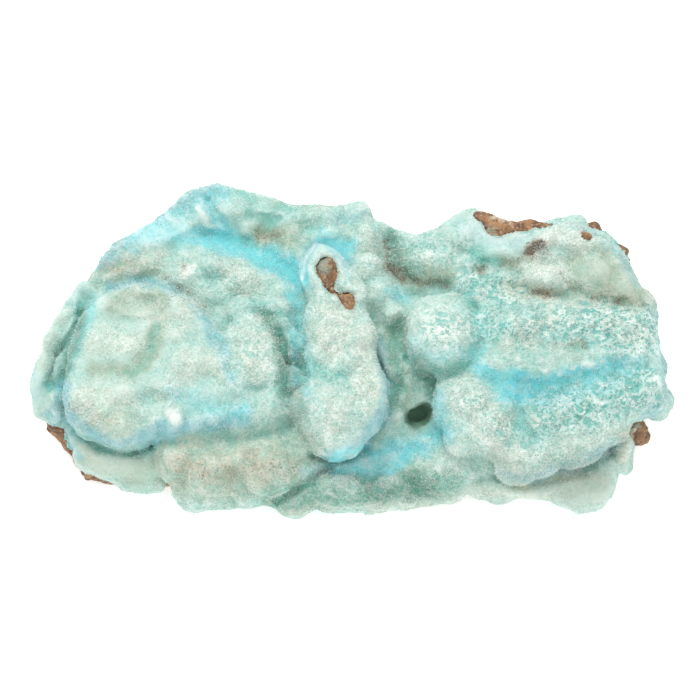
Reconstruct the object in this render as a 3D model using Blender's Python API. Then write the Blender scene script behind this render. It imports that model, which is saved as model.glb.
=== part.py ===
"""A specimen of blue aragonite: a thick, lumpy crust that grew over a slab of brown rock.

The forms below are read off the specimen as it is seen from the front, 65 degrees above the table.
A place is (across, up) on that view, in millimetres from its middle, with a height above the table.
"""

import math

import bmesh
import bpy
import numpy as np
from mathutils import Matrix, Vector, noise
from mathutils.kdtree import KDTree

MM = 0.001
VIEW_TILT = math.radians(65)
VIEW_HEIGHT = 13.0  # a point this high over the table's origin is seen at the view's middle
SEED = 7
WARP_OFFSETS = ((0.0, 0.0, 0.0), (31.4, 7.1, 12.9), (5.3, 47.7, 23.2))

CRUST_TRIANGLES = 7000
ROCK_TRIANGLES = 1500
VOXEL = 0.8
ROCK_VOXEL = 0.9
PIT_VOXEL = 0.4
BED_GAP = 0.42
CRUST_FLOOR = 0.4
LOWEST_KNOB = 0.8

# name: (top, thickness, rim radius, crown, outline)
PADS = {
    "body": (
        13.0, 11, 3.5, 1.0,
        [(-57.4, -5), (-55.5, 2), (-50, 9), (-44, 17), (-36, 22), (-30, 26), (-24, 28.4), (-14, 26),
         (-4, 24), (3, 24.6), (10, 19.5), (17, 21), (22, 23), (24, 19), (31, 18), (38, 20), (44, 19),
         (50, 15), (55, 8), (57.5, 0), (58, -7), (54, -11), (49, -15), (45, -20), (36, -23),
         (27, -23), (18, -23.6), (8, -25), (-4, -25), (-14, -24.8), (-24, -24.4), (-34, -22),
         (-42, -18.8), (-47.6, -17.2), (-52.4, -12.4)],
    ),
    "back_left": (
        17.6, 12, 3.0, 1.0,
        [(-50.5, 4), (-48, 10), (-43, 14.5), (-36, 18.5), (-30, 22), (-22, 24), (-12, 23), (-3, 22),
         (4, 21.5), (5, 15), (5, 5), (-2, -4), (-8, -12), (-18, -12), (-34, -10), (-46, -10),
         (-52, -6)],
    ),
    "right_bed": (
        17.2, 8, 3.0, 0.6,
        [(9, 18), (20, 20), (36, 18), (50, 14), (54.6, 7), (56, -2), (44, -4), (24, -4), (14, 2),
         (9, 8)],
    ),
    "centre_bed": (
        16.6, 8, 2.5, 0.4,
        [(3, 18), (9, 17), (13, 10), (13, -3), (9, -5.6), (4, -1), (2, 8)],
    ),
    "left_lobe": (
        21.8, 9, 3, 1.2,
        [(-53, -7), (-52, 0), (-49.5, 6), (-45, 10), (-40, 11.8), (-35, 11), (-30, 9), (-26, 5.5),
         (-23, 1), (-20, -5), (-15, -8), (-11.5, -12), (-15, -14.5), (-22, -15.4), (-29, -15),
         (-36, -16), (-41, -17.3), (-46, -16.4), (-50, -14.4), (-52.5, -11.4)],
    ),
    "middle_lump": (
        23.4, 9, 2.5, 1.2,
        [(-23, 3), (-20, 5.5), (-16, 4.5), (-13.5, 1.5), (-12.4, -3), (-13, -7), (-17, -7.5),
         (-21, -5), (-23.5, -1)],
    ),
    "front_lobe": (
        18.2, 12, 5.0, 0.8,
        [(-36, -18.5), (-36, -21.8), (-31, -24.8), (-24, -26), (-17, -25.4), (-12, -24.4),
         (-8, -23), (-4.5, -21.4), (-5.5, -19), (-9, -15), (-15, -13.5), (-23, -15), (-30, -15.5)],
    ),
    "column": (
        24.5, 9, 2.5, 1.2,
        [(-8, 8), (-5.5, 10), (0, 9), (3, 7), (4.5, 3), (4.4, -1), (5.6, -4.5), (6.9, -9),
         (6, -12.3), (3.8, -14.5), (2.4, -17), (0, -18.6), (-4, -18.8), (-7, -17), (-9, -13),
         (-8, -6), (-8.5, 1)],
    ),
    "window_hood": (
        25.0, 8, 2.0, 0.4,
        [(-9, 12), (-8.6, 16), (-6.6, 19.6), (-3.6, 18.9), (-1.2, 16.6), (1.2, 13.5), (2.6, 10),
         (0, 7), (-5, 7.4)],
    ),
    "boss": (
        22.4, 9, 3.0, 1.5,
        [(9.9, 3), (10.7, 7.2), (14, 9.7), (19, 9.9), (22.9, 6.7), (23.1, 0.8), (19.8, -3.4),
         (14.4, -4.1), (11.1, -1)],
    ),
    "right_field": (
        20.5, 8, 2.8, 1.2,
        [(21, 9.5), (28, 10.6), (34, 9.3), (40, 8), (48, 7), (55, 6), (57.6, 0), (58.4, -6),
         (57, -10), (52, -12.6), (50.6, -15.0), (44.6, -18.4), (38, -20.0), (33, -21.2), (29, -21.6),
         (25.5, -19.4), (20, -17.4), (16.8, -15), (15.2, -12), (15.4, -8), (17, -4)],
    ),
    "shelf": (
        8.6, 4.4, 1.6, 0.4,
        [(28, -24), (34, -22), (42, -20), (47, -19.6), (49.2, -21.8), (48.3, -26), (46.4, -29.6),
         (43.5, -30.4), (39, -28.8), (34, -27.4), (29, -27)],
    ),
    "back_ridge": (
        18.8, 10, 3.0, 1.0,
        [(-47.2, 14.8), (-44, 19.4), (-37, 23.2), (-32, 27.6), (-26, 30.5), (-22, 30), (-15, 27.6),
         (-4, 26), (2.6, 27.8), (4.2, 23.6), (2, 19), (-8, 21), (-18, 22), (-27, 20), (-36, 15),
         (-43, 12.5)],
    ),
    "right_back": (
        17.8, 9, 2.8, 1.0,
        [(4, 23.6), (9, 21.8), (13, 21.2), (20, 24.8), (23.4, 25.6), (25, 23.4), (25.6, 21.6),
         (27.6, 21.2), (31.4, 22.0), (34.5, 22.5), (37.4, 23.6), (43, 24.6), (44.8, 22.6), (48.4, 20.9),
         (51.4, 17.6), (53, 12.5), (48, 9), (36, 10), (22, 12), (12, 13), (5, 16)],
    ),
}

# group: (across, up, top, half across, half up, half height, turn in degrees)
KNOBS = {
    "left_lobe": [
        (-46, 1.8, 23.6, 4.8, 3.6, 5, 20), (-40.5, 0.6, 23.6, 3.6, 3.2, 5, 0),
        (-45.4, 8, 22.8, 2.2, 2.6, 4, -20), (-38.6, 10.6, 22.7, 6, 1.4, 4, 0),
        (-32, 7.6, 23.4, 3, 3, 4, 20), (-33, 2.6, 23.8, 3, 2.6, 4, 0),
        (-29.5, -2, 24.6, 6, 3.6, 5, 8), (-49, -7.5, 23.3, 4, 4.4, 5, 0),
        (-42.5, -8, 23.8, 4.4, 3.4, 5, 0), (-47.5, -12.2, 22.8, 4, 3.2, 4, -20),
        (-42, -13.6, 22.6, 5.4, 3, 4, 5), (-33, -7, 23.6, 3.4, 2.2, 4, 0),
        (-32.6, -12.4, 24.0, 1.9, 2, 4, 0), (-25, -7.5, 23.4, 5, 2.8, 4, -12),
        (-27, -12.6, 22.6, 5.5, 2.3, 4, 5), (-18.5, -10.6, 22.2, 5.5, 2.8, 4, -15),
        (-37, -12, 22.6, 3, 3, 4, 0),
        (-30, -14, 20.6, 6, 2, 4, 0), (-21, -13.6, 20.2, 6, 2.4, 4, -4),
    ],
    "middle_lump": [
        (-18.3, -0.6, 24.7, 4.6, 5.6, 5, 0), (-24, -1.5, 24.3, 3.2, 3.8, 4, 0),
        (-21.6, -5.6, 24.0, 3.4, 2.4, 4, -10), (-20, 13.5, 21.5, 4, 3, 5, 0),
        (-25, 16.2, 21, 3.8, 2.4, 5, 0), (-25.5, 11, 20.8, 4, 3.2, 5, 0),
        (-20, 8.2, 22.8, 4.4, 2.8, 5, 0), (-14.5, 8.5, 21.6, 3.4, 3, 5, 0),
        (-18.6, 5.6, 23.6, 4.4, 3, 5, 0), (-13.4, 5, 22.4, 2.4, 2.6, 4, 0),
        (-31, 14, 20.4, 3.4, 2.2, 5, 0), (-10.9, 1.5, 22.2, 2.2, 3.4, 4, 0),
        (-10.8, -5, 22.8, 2, 3, 4, 0), (-9, -9.6, 23.6, 2.6, 3.4, 4, 0),
        (-14.6, -8.2, 22.6, 3, 2.6, 4, -20),
    ],
    "front_lobe": [
        (-32, -19.4, 19, 3.8, 3, 5, 0), (-26.5, -20.9, 19, 4.4, 4, 5, 0),
        (-21.5, -19.4, 19.5, 3.2, 2.8, 4, 0), (-15, -20.9, 20, 5.4, 4.2, 5, 0),
        (-28, -24, 14.6, 5, 3, 6, 0), (-18, -23.8, 15, 4.6, 2.6, 6, 0),
        (-24, -25.8, 8.6, 6, 1.8, 5, 0), (-10, -18.2, 18.5, 3.6, 3, 4, 0),
        (-9.5, -21.6, 17, 3.6, 2.2, 4, 30),
    ],
    "column": [
        (-3, 3.5, 26.8, 5.4, 4.5, 5, 0), (-3.8, -4, 26.4, 3.6, 3, 4, 0),
        (-3.4, -10.5, 26.3, 6, 5, 5, 0), (2.6, -5.5, 26.2, 3.4, 4, 4, 0), (-3, -15.2, 24.6, 4, 3, 5, 0),
        (2.6, -10.8, 25.6, 3.2, 3, 4, 0), (1.4, 2, 26, 3, 3, 4, 0),
        (2.4, 16, 21.8, 3.4, 3, 5, 0), (2.6, 21.6, 20.4, 3.2, 3.4, 5, 0),
        (5.5, 11.6, 20.6, 4, 3.2, 5, 0), (8, 7.4, 19.6, 2.8, 3, 5, 0),
    ],
    "boss": [
        (16.6, 3.1, 25.0, 6.3, 6.0, 5, 0), (14, 16.8, 19.6, 6.2, 4, 6, 0),
        (18.5, 13.4, 17.6, 5, 2.2, 5, 0), (9, -9.5, 15.4, 2.6, 5, 6, -10),
        (7.5, -2, 17.4, 2.2, 4, 6, 0), (10.4, -5, 16.4, 2.4, 2.6, 6, 0),
    ],
    "right_back": [
        (21, 21.6, 20.4, 4.2, 3.2, 5, 20), (28.4, 18.2, 20.6, 4.8, 1.9, 5, -5),
        (36.4, 21, 20.8, 3.4, 1.8, 5, 25), (41, 20.6, 21, 4.6, 2.8, 5, 0),
        (36, 14, 21.2, 4.4, 2.8, 5, 0), (28, 13, 18.8, 5, 2.3, 5, 0),
        (22, 16.4, 18.8, 3.2, 3, 5, 0), (45, 15, 20, 5, 4, 6, 0), (50, 13, 18.2, 4, 4, 6, 0),
        (46.6, 20.1, 20.4, 2.6, 2.0, 5, -30), (49.6, 16.2, 18.8, 2.6, 1.8, 5, -40),
        (40.8, 23.0, 20.4, 3.8, 1.3, 4, 0),
        (53.6, 9, 15.4, 3.4, 4, 6, 0), (29.5, 16, 18.4, 3, 1.8, 4, 0),
    ],
    "right_field": [
        (26, 6.4, 22, 4.2, 3, 4, 0), (33, 5, 23, 5, 3.6, 5, 0), (42, 5, 22.4, 4.8, 2.8, 5, 0),
        (50.5, 3.5, 21.4, 5.2, 3.8, 5, 0), (29, -1.4, 22.6, 6, 2.4, 5, 8), (22, -8, 23.2, 4.8, 4.4, 5, 0),
        (26, -13.4, 22.8, 5, 4, 5, 0), (36, -12, 22.2, 5.4, 3.6, 5, 0),
        (45.5, -11.5, 21.2, 4.8, 3.4, 5, 0), (54, -7.6, 19.6, 4.6, 3.2, 5, 0),
        (34, -18.0, 21, 6, 3.2, 5, 10), (42, -16.0, 20, 5.2, 2.8, 5, 20),
        (30.4, -20, 19.2, 3.8, 2.4, 5, 0), (20.6, -14.2, 21, 3.8, 3.2, 5, 0),
        (43, -3.8, 21.8, 3.6, 1.2, 3, 15), (57.6, -8.3, 14.6, 2.6, 3.1, 5, 0),
        (50.6, -17.0, 11.0, 2.4, 2.6, 5, 10), (50.6, -19.6, 8.4, 2.0, 2.2, 4, 10),
    ],
    "front_floor": [
        (18, -21, 14.6, 6.4, 3.2, 6, 10), (-10.5, -25, 13.4, 4.4, 3, 6, 0),
        (-2, -24, 15.2, 5.6, 3, 6, 0), (7, -24.2, 14, 4.6, 2.6, 6, 0), (13.6, -17, 14, 2.8, 1.6, 4, 0),
        (26.6, -24.8, 9.6, 4.6, 1.8, 4, 0), (2, -27, 7, 8, 1.8, 4, 0), (14, -25.8, 8, 6, 1.6, 4, 10),
        (-9, -27.4, 6.5, 4, 1.4, 4, 0), (-12, -25.4, 11.6, 3.4, 2.4, 5, 0),
        (-4.6, -25.4, 12.2, 3.6, 2.4, 5, 0),
        (3, -25.2, 12, 3.4, 2.4, 5, 0), (9.6, -25.2, 11.4, 3.4, 2.4, 5, 0), (17.4, -24, 11.6, 4, 2, 5, 0),
    ],
    "left_wall": [
        (-44, -18.4, 13.4, 8, 3, 8, -8), (-37.5, -19, 13.2, 4, 3.2, 8, 0),
        (-39.5, -22.6, 8.4, 5.4, 2.4, 4, -6), (-54.4, -10.2, 10.6, 3, 2.4, 6, 0),
        (-57.4, -8.4, 13.4, 2.2, 1.9, 5, 0), (-50, -15.2, 9.8, 3.4, 2.4, 7, -30),
    ],
    "left_fold": [
        (-49.8, 11.9, 18.2, 2.6, 2, 7, -30), (-51.6, 9.8, 17.4, 2, 2.2, 7, 0),
        (-53.4, 6.6, 17.8, 2, 2.8, 7, -25), (-55.6, 2.6, 17.6, 2, 3, 7, -25),
        (-57.2, -1.6, 16.8, 1.9, 3, 7, -15), (-57.8, -5.2, 15.8, 2, 2.6, 6, 0),
        (-50.2, 8.2, 17.8, 1.8, 1.9, 6, 0), (-51.4, 4, 17.6, 2.2, 4, 6, -15),
        (-53.6, -2.6, 17.0, 2.2, 4, 6, -15), (-54.6, -8, 15.4, 2, 3, 6, 0),
    ],
    "back_ridge": [
        (-42, 17.4, 19.6, 4.8, 3.2, 6, 30), (-46.4, 14, 17.6, 3, 3, 6, 40),
        (-37, 19.4, 19, 4.8, 2.8, 6, 20),
        (-33, 23.6, 19.4, 4, 2.8, 6, 30), (-28.4, 25.2, 20.6, 1.6, 3.4, 4, 35),
        (-31, 27, 18.4, 3, 2, 6, 30), (-25.5, 28.2, 19, 3.6, 2, 6, 0), (-21.4, 25.6, 19.6, 4, 3, 6, 0),
        (-16.6, 26, 19.4, 4, 2.6, 6, -10), (-10.5, 24.8, 19.4, 4.6, 2.2, 6, -5),
        (-3, 24.2, 19.4, 4.4, 2, 6, 0), (2.0, 26, 19.8, 2.6, 2.4, 6, 0), (-9.6, 21.8, 18.8, 4, 2, 5, 0),
        (-31, 17.2, 19.8, 4, 2.4, 5, 0), (-42, 14.4, 20.8, 4.6, 2, 5, 12),
        (-18.4, 22.4, 18.8, 4, 2.2, 5, 0),
        (-23.6, 22.8, 18.8, 3.4, 2, 5, -10), (-12, 22.4, 19.6, 5, 2.6, 5, 0),
        (-4, 21.6, 19.8, 4.4, 2.4, 5, 0),
        (-37.6, 16, 20.4, 3, 2.2, 4, 0),
    ],
    "back_wall": [
        (-45, 13, 10, 5, 4, 7, 30), (-35, 20, 9, 6, 4, 7, 20), (-22, 25.6, 9.6, 7, 3.4, 8, 0),
        (-8, 23.4, 8.6, 6, 3, 7, 0), (3, 22, 10, 4.6, 3, 7, 0), (17, 20.4, 9.4, 6, 3, 7, 10),
        (33, 18.6, 8.4, 7, 3, 6, 0), (45, 15.6, 10, 5, 4, 7, -20), (54.4, 6, 9.4, 3, 5, 7, 0),
        (56.5, -3, 9, 2.4, 4, 6, 0),
    ],
}

# name: (depth, half width, places along it)
CREASES = {
    "fold": (1.4, 0.6, [(-50.2, 8), (-50.6, 5), (-52.6, 1.4), (-54.6, -1.6), (-56, -6.4)]),
    "blue_channel": (2.6, 2.2, [(-27, 21.4), (-22, 20), (-17.5, 18), (-13, 15.4), (-9.8, 12.6)]),
    "back_cleft": (1.8, 0.9, [(-26.6, 27.4), (-25, 24.6), (-22.6, 21.6)]),
    "lobe_back": (0.5, 0.9, [(-46, 12), (-41, 13.4), (-36, 13.2), (-31, 10.3), (-26.6, 7.6), (-24, 3.4)]),
    "dark_valley": (2.8, 1.9, [(7.4, 20), (7.4, 17), (9, 14), (12, 12.2), (17.6, 11.5)]),
    "green_valley": (1.1, 1.5, [(-35.6, 3.9), (-36.6, 0.4), (-38.8, -2.8)]),
    "valley_foot": (0.5, 1.3, [(-38.8, -2.8), (-42.4, -5), (-47.2, -4.6)]),
    "dish_edge": (0.8, 0.7, [(-44.6, 7), (-42.4, 5.5), (-38.6, 5.0), (-35.4, 6.0), (-33.6, 8.4)]),
    "field_top": (1.6, 1.2, [(28, 11.8), (34, 10.4), (42, 9.6), (50.4, 8), (54, 7.6)]),
    "sky_valley": (1.8, 2.2, [(27, -6.4), (33, -7), (39, -6.6), (45, -5), (51, -3.6), (54, -4.6)]),
    "column_left": (1.2, 1.2, [(-10, 6), (-9.2, 0), (-9.6, -5), (-9.4, -10), (-8.6, -15), (-6, -18)]),
    "column_waist": (1.1, 1.4, [(-8.6, -2.2), (-6, -4.2), (-2, -5.2), (1.6, -4.8), (5, -3.8)]),
    "column_end": (2.6, 0.8, [(-7, -19.8), (-4, -20.6), (-0.6, -20.2), (2.4, -18.8)]),
    "lump_right": (0.6, 0.7, [(-13.4, 3.4), (-12.4, 0), (-12, -3), (-11.8, -6)]),
    "lump_left": (0.4, 0.8, [(-24, 0.6), (-23.2, -4), (-20, -7), (-15, -8.2)]),
    "wedge": (1.3, 1.3, [(8.8, 5), (7.8, 1), (7.4, -2.4)]),
    "left_lip": (1.0, 0.8, [(-51.4, -15.6), (-48, -17.8), (-44, -19.2), (-40, -19.4), (-36.4, -18)]),
    "front_seam": (0.6, 0.9, [(-36, -20.6), (-35, -17.6), (-28, -16.9), (-21, -17.2), (-15, -16),
                              (-11, -14)]),
    "front_right_lip": (2.2, 0.8, [(-14, -28.4), (-11, -26.4), (-7, -23.6), (-4, -22)]),
    "field_slit": (1.4, 0.9, [(31, -9), (31, -13), (33.4, -16.4)]),
    "field_lip": (1.0, 0.9, [(27.6, -24), (32, -26), (37, -24.6), (44, -22.6), (49.4, -19)]),
    "boss_foot": (1.2, 0.8, [(10.4, -2), (14, -5), (18.6, -5), (22.4, -2.6), (24, 1.6)]),
    "right_notch": (0.8, 0.7, [(49, -15.4), (52, -13.9), (56, -13)]),
}

# name: (depth, across, up, half across, half up)
DISHES = {
    "lobe_dish": (1.6, -39.2, 8.2, 5.4, 2.6),
    "back_dish": (1.6, -15, 21.4, 3.6, 1.6),
    "rim_dish": (1.2, 24, 14.4, 1.6, 1.4),
    "edge_dish": (1.2, 50.6, 8.6, 2.2, 1.4),
    "top_dish": (1.2, 42, 11, 1.6, 1.0),
    "front_dish": (1.4, -36.5, -9.6, 2.2, 1.8),
}

# name: (across, up, height of the mouth, half across, half up, depth, turn)
PITS = {
    "cave": (12.7, -12.3, 14.4, 3.2, 1.9, 7.0, 32),
    "cave_foot": (13.6, -12.8, 14.4, 1.6, 1.8, 6.0, 0),
    "cave_lip": (14.0, -7.0, 19.0, 1.3, 3.4, 3.6, 0),
    "brown_pit": (34.8, 18.5, 20.6, 1.7, 1.3, 1.5, 0),
    "window": (-4.3, 15.0, 25.8, 2.6, 3.0, 3.4, 10),
    "window_neck": (-4.0, 12.0, 25.6, 1.6, 2.7, 3.2, 10),
    "window_bridge": (-2.6, 10.5, 25.8, 1.4, 0.8, 3.0, -20),
    "window_foot": (-0.8, 9.9, 25.8, 1.9, 0.8, 3.0, 0),
    "window_tip": (-1.1, 9.2, 25.8, 0.9, 1.2, 3.0, 0),
    "edge_spot": (43.8, 21.2, 21.0, 1.5, 1.3, 3.4, 0),
}

ROCK_PADS = {
    "slab": (
        5.6, 5.6, 1.4, 0.5,
        [(-56.3, -12), (-54, 0), (-48, 9), (-40, 15), (-30, 21), (-18, 22), (-4, 20), (8, 16),
         (20, 18), (30, 20), (40, 19), (48, 15), (53, 6), (54, -6), (53, -13), (46, -18), (34, -22.4),
         (25, -24.3), (12, -25.4), (-4, -25), (-18, -25), (-30, -25), (-40, -23.4), (-45, -24.0),
         (-49.0, -23.6), (-51.2, -20.6), (-52.8, -17.4), (-56.5, -14.2)],
    ),
    "back_shelf": (
        18.0, 15, 1.0, 0.3,
        [(22.6, 24.4), (24.2, 25.5), (27, 24.9), (30, 23.5), (34, 23.7), (37, 23.2), (40, 22.0),
         (44, 18), (36, 17.5), (28, 16), (23, 19)],
    ),
    "corner_shelf": (
        15.8, 13, 1.0, 0.3,
        [(42, 21.6), (45.0, 23.3), (47.4, 21.9), (49.6, 19.8), (51.9, 17.6), (49, 13.6), (44, 15)],
    ),
}
ROCK_KNOBS = [
    (-4.4, 14.6, 24.0, 5.0, 5.4, 12, 0), (-2, 9.6, 24.4, 5.0, 3.4, 12, 0), (-3, 12, 18, 5, 5, 17, 0),
    (-4.3, 14.9, 24.7, 3.3, 4.0, 3, 10), (-0.7, 9.4, 25.2, 2.6, 2.0, 3, 0),
    (43.8, 21.2, 20.6, 1.7, 1.4, 6, 0), (27, 22.6, 19.2, 2.6, 1.2, 4, -20),
    (32.6, 22.4, 19.0, 2.2, 0.9, 4, 10),
    (52.6, -14.2, 9.4, 3.0, 2.0, 6, 25), (54, -14.6, 7.6, 1.5, 1.8, 5, 0),
    (-52.4, -16.2, 7.2, 1.4, 1.4, 5, 20),
]


def place(across, up, height):
    """The point that is seen at (across, up) and is this high, in millimetres."""
    back = (up - (height - VIEW_HEIGHT) * math.cos(VIEW_TILT)) / math.sin(VIEW_TILT)
    return Vector((across, back, height))


def seen(points):
    """Where points are seen, as rows of (across, up)."""
    up = points[:, 1] * math.sin(VIEW_TILT) + (points[:, 2] - VIEW_HEIGHT) * math.cos(VIEW_TILT)
    return np.stack([points[:, 0], up], axis=1)


def rounded(outline, steps=5):
    """A closed Catmull-Rom curve through the outline's points."""
    points = [Vector(p) for p in outline]
    curve = []
    for i in range(len(points)):
        a, b, c, d = (points[(i + k) % len(points)] for k in (-1, 0, 1, 2))
        for s in range(steps):
            t = s / steps
            curve.append(
                0.5 * (2 * b + (c - a) * t + (2 * a - 5 * b + 4 * c - d) * t**2
                       + (3 * b - a - 3 * c + d) * t**3)
            )
    return curve


def add_pad(bm, top, thickness, rim, crown, outline):
    """A cushion-shaped slab with this outline, a round rim and a slightly domed top."""
    middle = top - rim
    edge = [place(p.x, p.y, middle).xy for p in rounded(outline)]
    centre = sum(edge, Vector((0, 0))) / len(edge)
    count = len(edge)
    turning = sum(edge[i].cross(edge[(i + 1) % count]) for i in range(count))
    side = 1 if turning > 0 else -1
    inward = []
    for i in range(count):
        along = (edge[(i + 1) % count] - edge[i - 1]).normalized()
        inward.append(Vector((-along.y, along.x)) * side)
    profile = []
    for step in range(7):
        angle = math.radians(-90 + 30 * step)
        level = middle if angle > 0 else top - thickness + rim
        if step == 3:
            profile.append((0.0, top - thickness + rim))
            profile.append((0.0, middle))
        else:
            profile.append((rim * (1 - math.cos(angle)), level + rim * math.sin(angle)))
    rings = []
    for inset, height in profile:
        rings.append([bm.verts.new((*(p + n * inset), height)) for p, n in zip(edge, inward)])
    top_ring = rings[-1]
    for share in (0.75, 0.5, 0.25):
        height = top + crown * (1 - share**2)
        rings.append([bm.verts.new((*centre.lerp(v.co.xy, share), height)) for v in top_ring])
    for low, high in zip(rings, rings[1:]):
        for i in range(count):
            j = (i + 1) % count
            corners = [low[i], low[j], high[j], high[i]]
            bm.faces.new(corners if side > 0 else corners[::-1])
    bm.faces.new(rings[0][::-side])
    bm.faces.new(rings[-1][::side])


def add_knob(bm, across, up, top, wide, deep, tall, turn=0.0):
    """An ellipsoid whose outline, as seen, is wide by deep and whose top is this high."""
    tall = min(tall, (top - LOWEST_KNOB) / 2)
    centre = place(across, up, top - tall)
    stretch = Matrix.Diagonal((1, 1 / math.sin(VIEW_TILT), 1, 1))
    shape = Matrix.Rotation(math.radians(turn), 4, "Z") @ Matrix.Diagonal((wide, deep, tall, 1))
    # The centre is placed so that the top, and not the middle, is seen at (across, up).
    shift = Vector((0, -tall * math.cos(VIEW_TILT) / math.sin(VIEW_TILT), 0))
    bmesh.ops.create_icosphere(
        bm, subdivisions=3, radius=1.0, matrix=Matrix.Translation(centre + shift) @ stretch @ shape
    )


def add_bore(bm, across, up, mouth, wide, deep, depth, turn):
    """An ellipsoid along the line of sight, for an opening that is seen wide by deep."""
    aim = Matrix.Rotation(math.pi / 2 - VIEW_TILT, 4, "X")
    shape = Matrix.Rotation(math.radians(turn), 4, "Z") @ Matrix.Diagonal((wide, deep, depth, 1))
    spot = Matrix.Translation(place(across, up, mouth))
    bmesh.ops.create_icosphere(bm, subdivisions=3, radius=1.0, matrix=spot @ aim @ shape)


def object_from(bm, name):
    mesh = bpy.data.meshes.new(name)
    bmesh.ops.recalc_face_normals(bm, faces=bm.faces)
    bm.to_mesh(mesh)
    bm.free()
    made = bpy.data.objects.new(name, mesh)
    bpy.context.scene.collection.objects.link(made)
    return made


def bake_modifiers(target):
    """Replaces the object's mesh with what its modifiers make of it."""
    graph = bpy.context.evaluated_depsgraph_get()
    graph.update()
    mesh = bpy.data.meshes.new_from_object(target.evaluated_get(graph))
    target.modifiers.clear()
    old = target.data
    target.data = mesh
    bpy.data.meshes.remove(old)


def remesh(target, voxel):
    modifier = target.modifiers.new("skin", "REMESH")
    modifier.mode = "VOXEL"
    modifier.voxel_size = voxel
    bake_modifiers(target)


def points_of(mesh):
    points = np.empty(len(mesh.vertices) * 3, np.float32)
    mesh.vertices.foreach_get("co", points)
    return points.reshape(-1, 3).astype(float)


def normals_of(mesh):
    normals = np.empty(len(mesh.vertices) * 3, np.float32)
    mesh.vertices.foreach_get("normal", normals)
    return normals.reshape(-1, 3).astype(float)


def set_points(mesh, points):
    mesh.vertices.foreach_set("co", points.astype(np.float32).ravel())
    mesh.update()


def smooth(target, rounds, share=0.5):
    """Moves each vertex towards the mean of its neighbours."""
    mesh = target.data
    edges = np.empty(len(mesh.edges) * 2, np.int32)
    mesh.edges.foreach_get("vertices", edges)
    a, b = edges.reshape(-1, 2).T
    points = points_of(mesh)
    count = np.bincount(a, minlength=len(points)) + np.bincount(b, minlength=len(points))
    for _ in range(rounds):
        total = np.empty_like(points)
        for k in range(3):
            total[:, k] = np.bincount(a, points[b, k], len(points))
            total[:, k] += np.bincount(b, points[a, k], len(points))
        points += share * (total / count[:, None] - points)
    set_points(mesh, points)


def warp(target, size, amount):
    """Bends the whole shape by a smooth noise, so that no lump stays a true ellipsoid."""
    mesh = target.data
    points = points_of(mesh)
    shift = np.empty_like(points)
    for i, place_now in enumerate(points / size):
        for k, offset in enumerate(WARP_OFFSETS):
            shift[i, k] = noise.noise(Vector(place_now) + Vector(offset))
    set_points(mesh, points + amount * shift)


def distance_to_path(places, path):
    """How far each seen place is from the line through the path's points, or from its only point."""
    best = np.full(len(places), np.inf)
    for start, end in zip(path, path[1:] or path):
        a, b = np.array(start, float), np.array(end, float)
        along = np.clip((places - a) @ (b - a) / max((b - a) @ (b - a), 1e-9), 0, 1)
        best = np.minimum(best, np.linalg.norm(places - a - along[:, None] * (b - a), axis=1))
    return best


def carve_creases(target):
    """Sinks the creases between lobes into the faces that look up at the view."""
    mesh = target.data
    points, normals = points_of(mesh), normals_of(mesh)
    towards = np.array((0, -math.cos(VIEW_TILT), math.sin(VIEW_TILT)))
    facing = np.clip((normals @ towards - 0.1) / 0.5, 0, 1)
    places = seen(points)
    depth = np.zeros(len(points))
    for sink, width, path in CREASES.values():
        depth = np.maximum(depth, sink * np.exp(-((distance_to_path(places, path) / width) ** 2)))
    for sink, across, up, wide, deep in DISHES.values():
        away = ((places - (across, up)) / (wide, deep)) ** 2
        depth += sink * np.exp(-away.sum(axis=1))
    set_points(mesh, points - towards * (depth * facing)[:, None])


def grow_nodules(target, spacing, height, seed):
    """Covers the surface with small domes that meet in sharp valleys, as grape-like crusts have."""
    mesh = target.data
    points, normals = points_of(mesh), normals_of(mesh)
    random = np.random.default_rng(seed)
    low, high = points.min(0), points.max(0)
    count = int(np.prod((high - low) / spacing + 1))
    seeds = low + random.random((count, 3)) * (high - low)
    tree = KDTree(count)
    for i, seed_point in enumerate(seeds):
        tree.insert(seed_point, i)
    tree.balance()
    nearest = np.array([tree.find(p)[2] for p in points])
    dome = 1 - np.clip(nearest / spacing, 0, 1) ** 2
    set_points(mesh, points + normals * (height * (dome - 0.5))[:, None])


def thin_out(target, triangles):
    mesh = target.data
    modifier = target.modifiers.new("thin", "DECIMATE")
    mesh.calc_loop_triangles()
    modifier.ratio = triangles / len(mesh.loop_triangles)
    bake_modifiers(target)


def cut(target, tool, name):
    modifier = target.modifiers.new(name, "BOOLEAN")
    modifier.operation = "DIFFERENCE"
    modifier.solver = "EXACT"
    modifier.object = tool
    bake_modifiers(target)


def keep_largest_island(target):
    bm = bmesh.new()
    bm.from_mesh(target.data)
    left = set(bm.verts)
    islands = []
    while left:
        stack, island = [left.pop()], []
        while stack:
            vertex = stack.pop()
            island.append(vertex)
            for edge in vertex.link_edges:
                other = edge.other_vert(vertex)
                if other in left:
                    left.remove(other)
                    stack.append(other)
        islands.append(island)
    islands.sort(key=len)
    for island in islands[:-1]:
        bmesh.ops.delete(bm, geom=island, context="VERTS")
    bm.to_mesh(target.data)
    bm.free()


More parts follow.
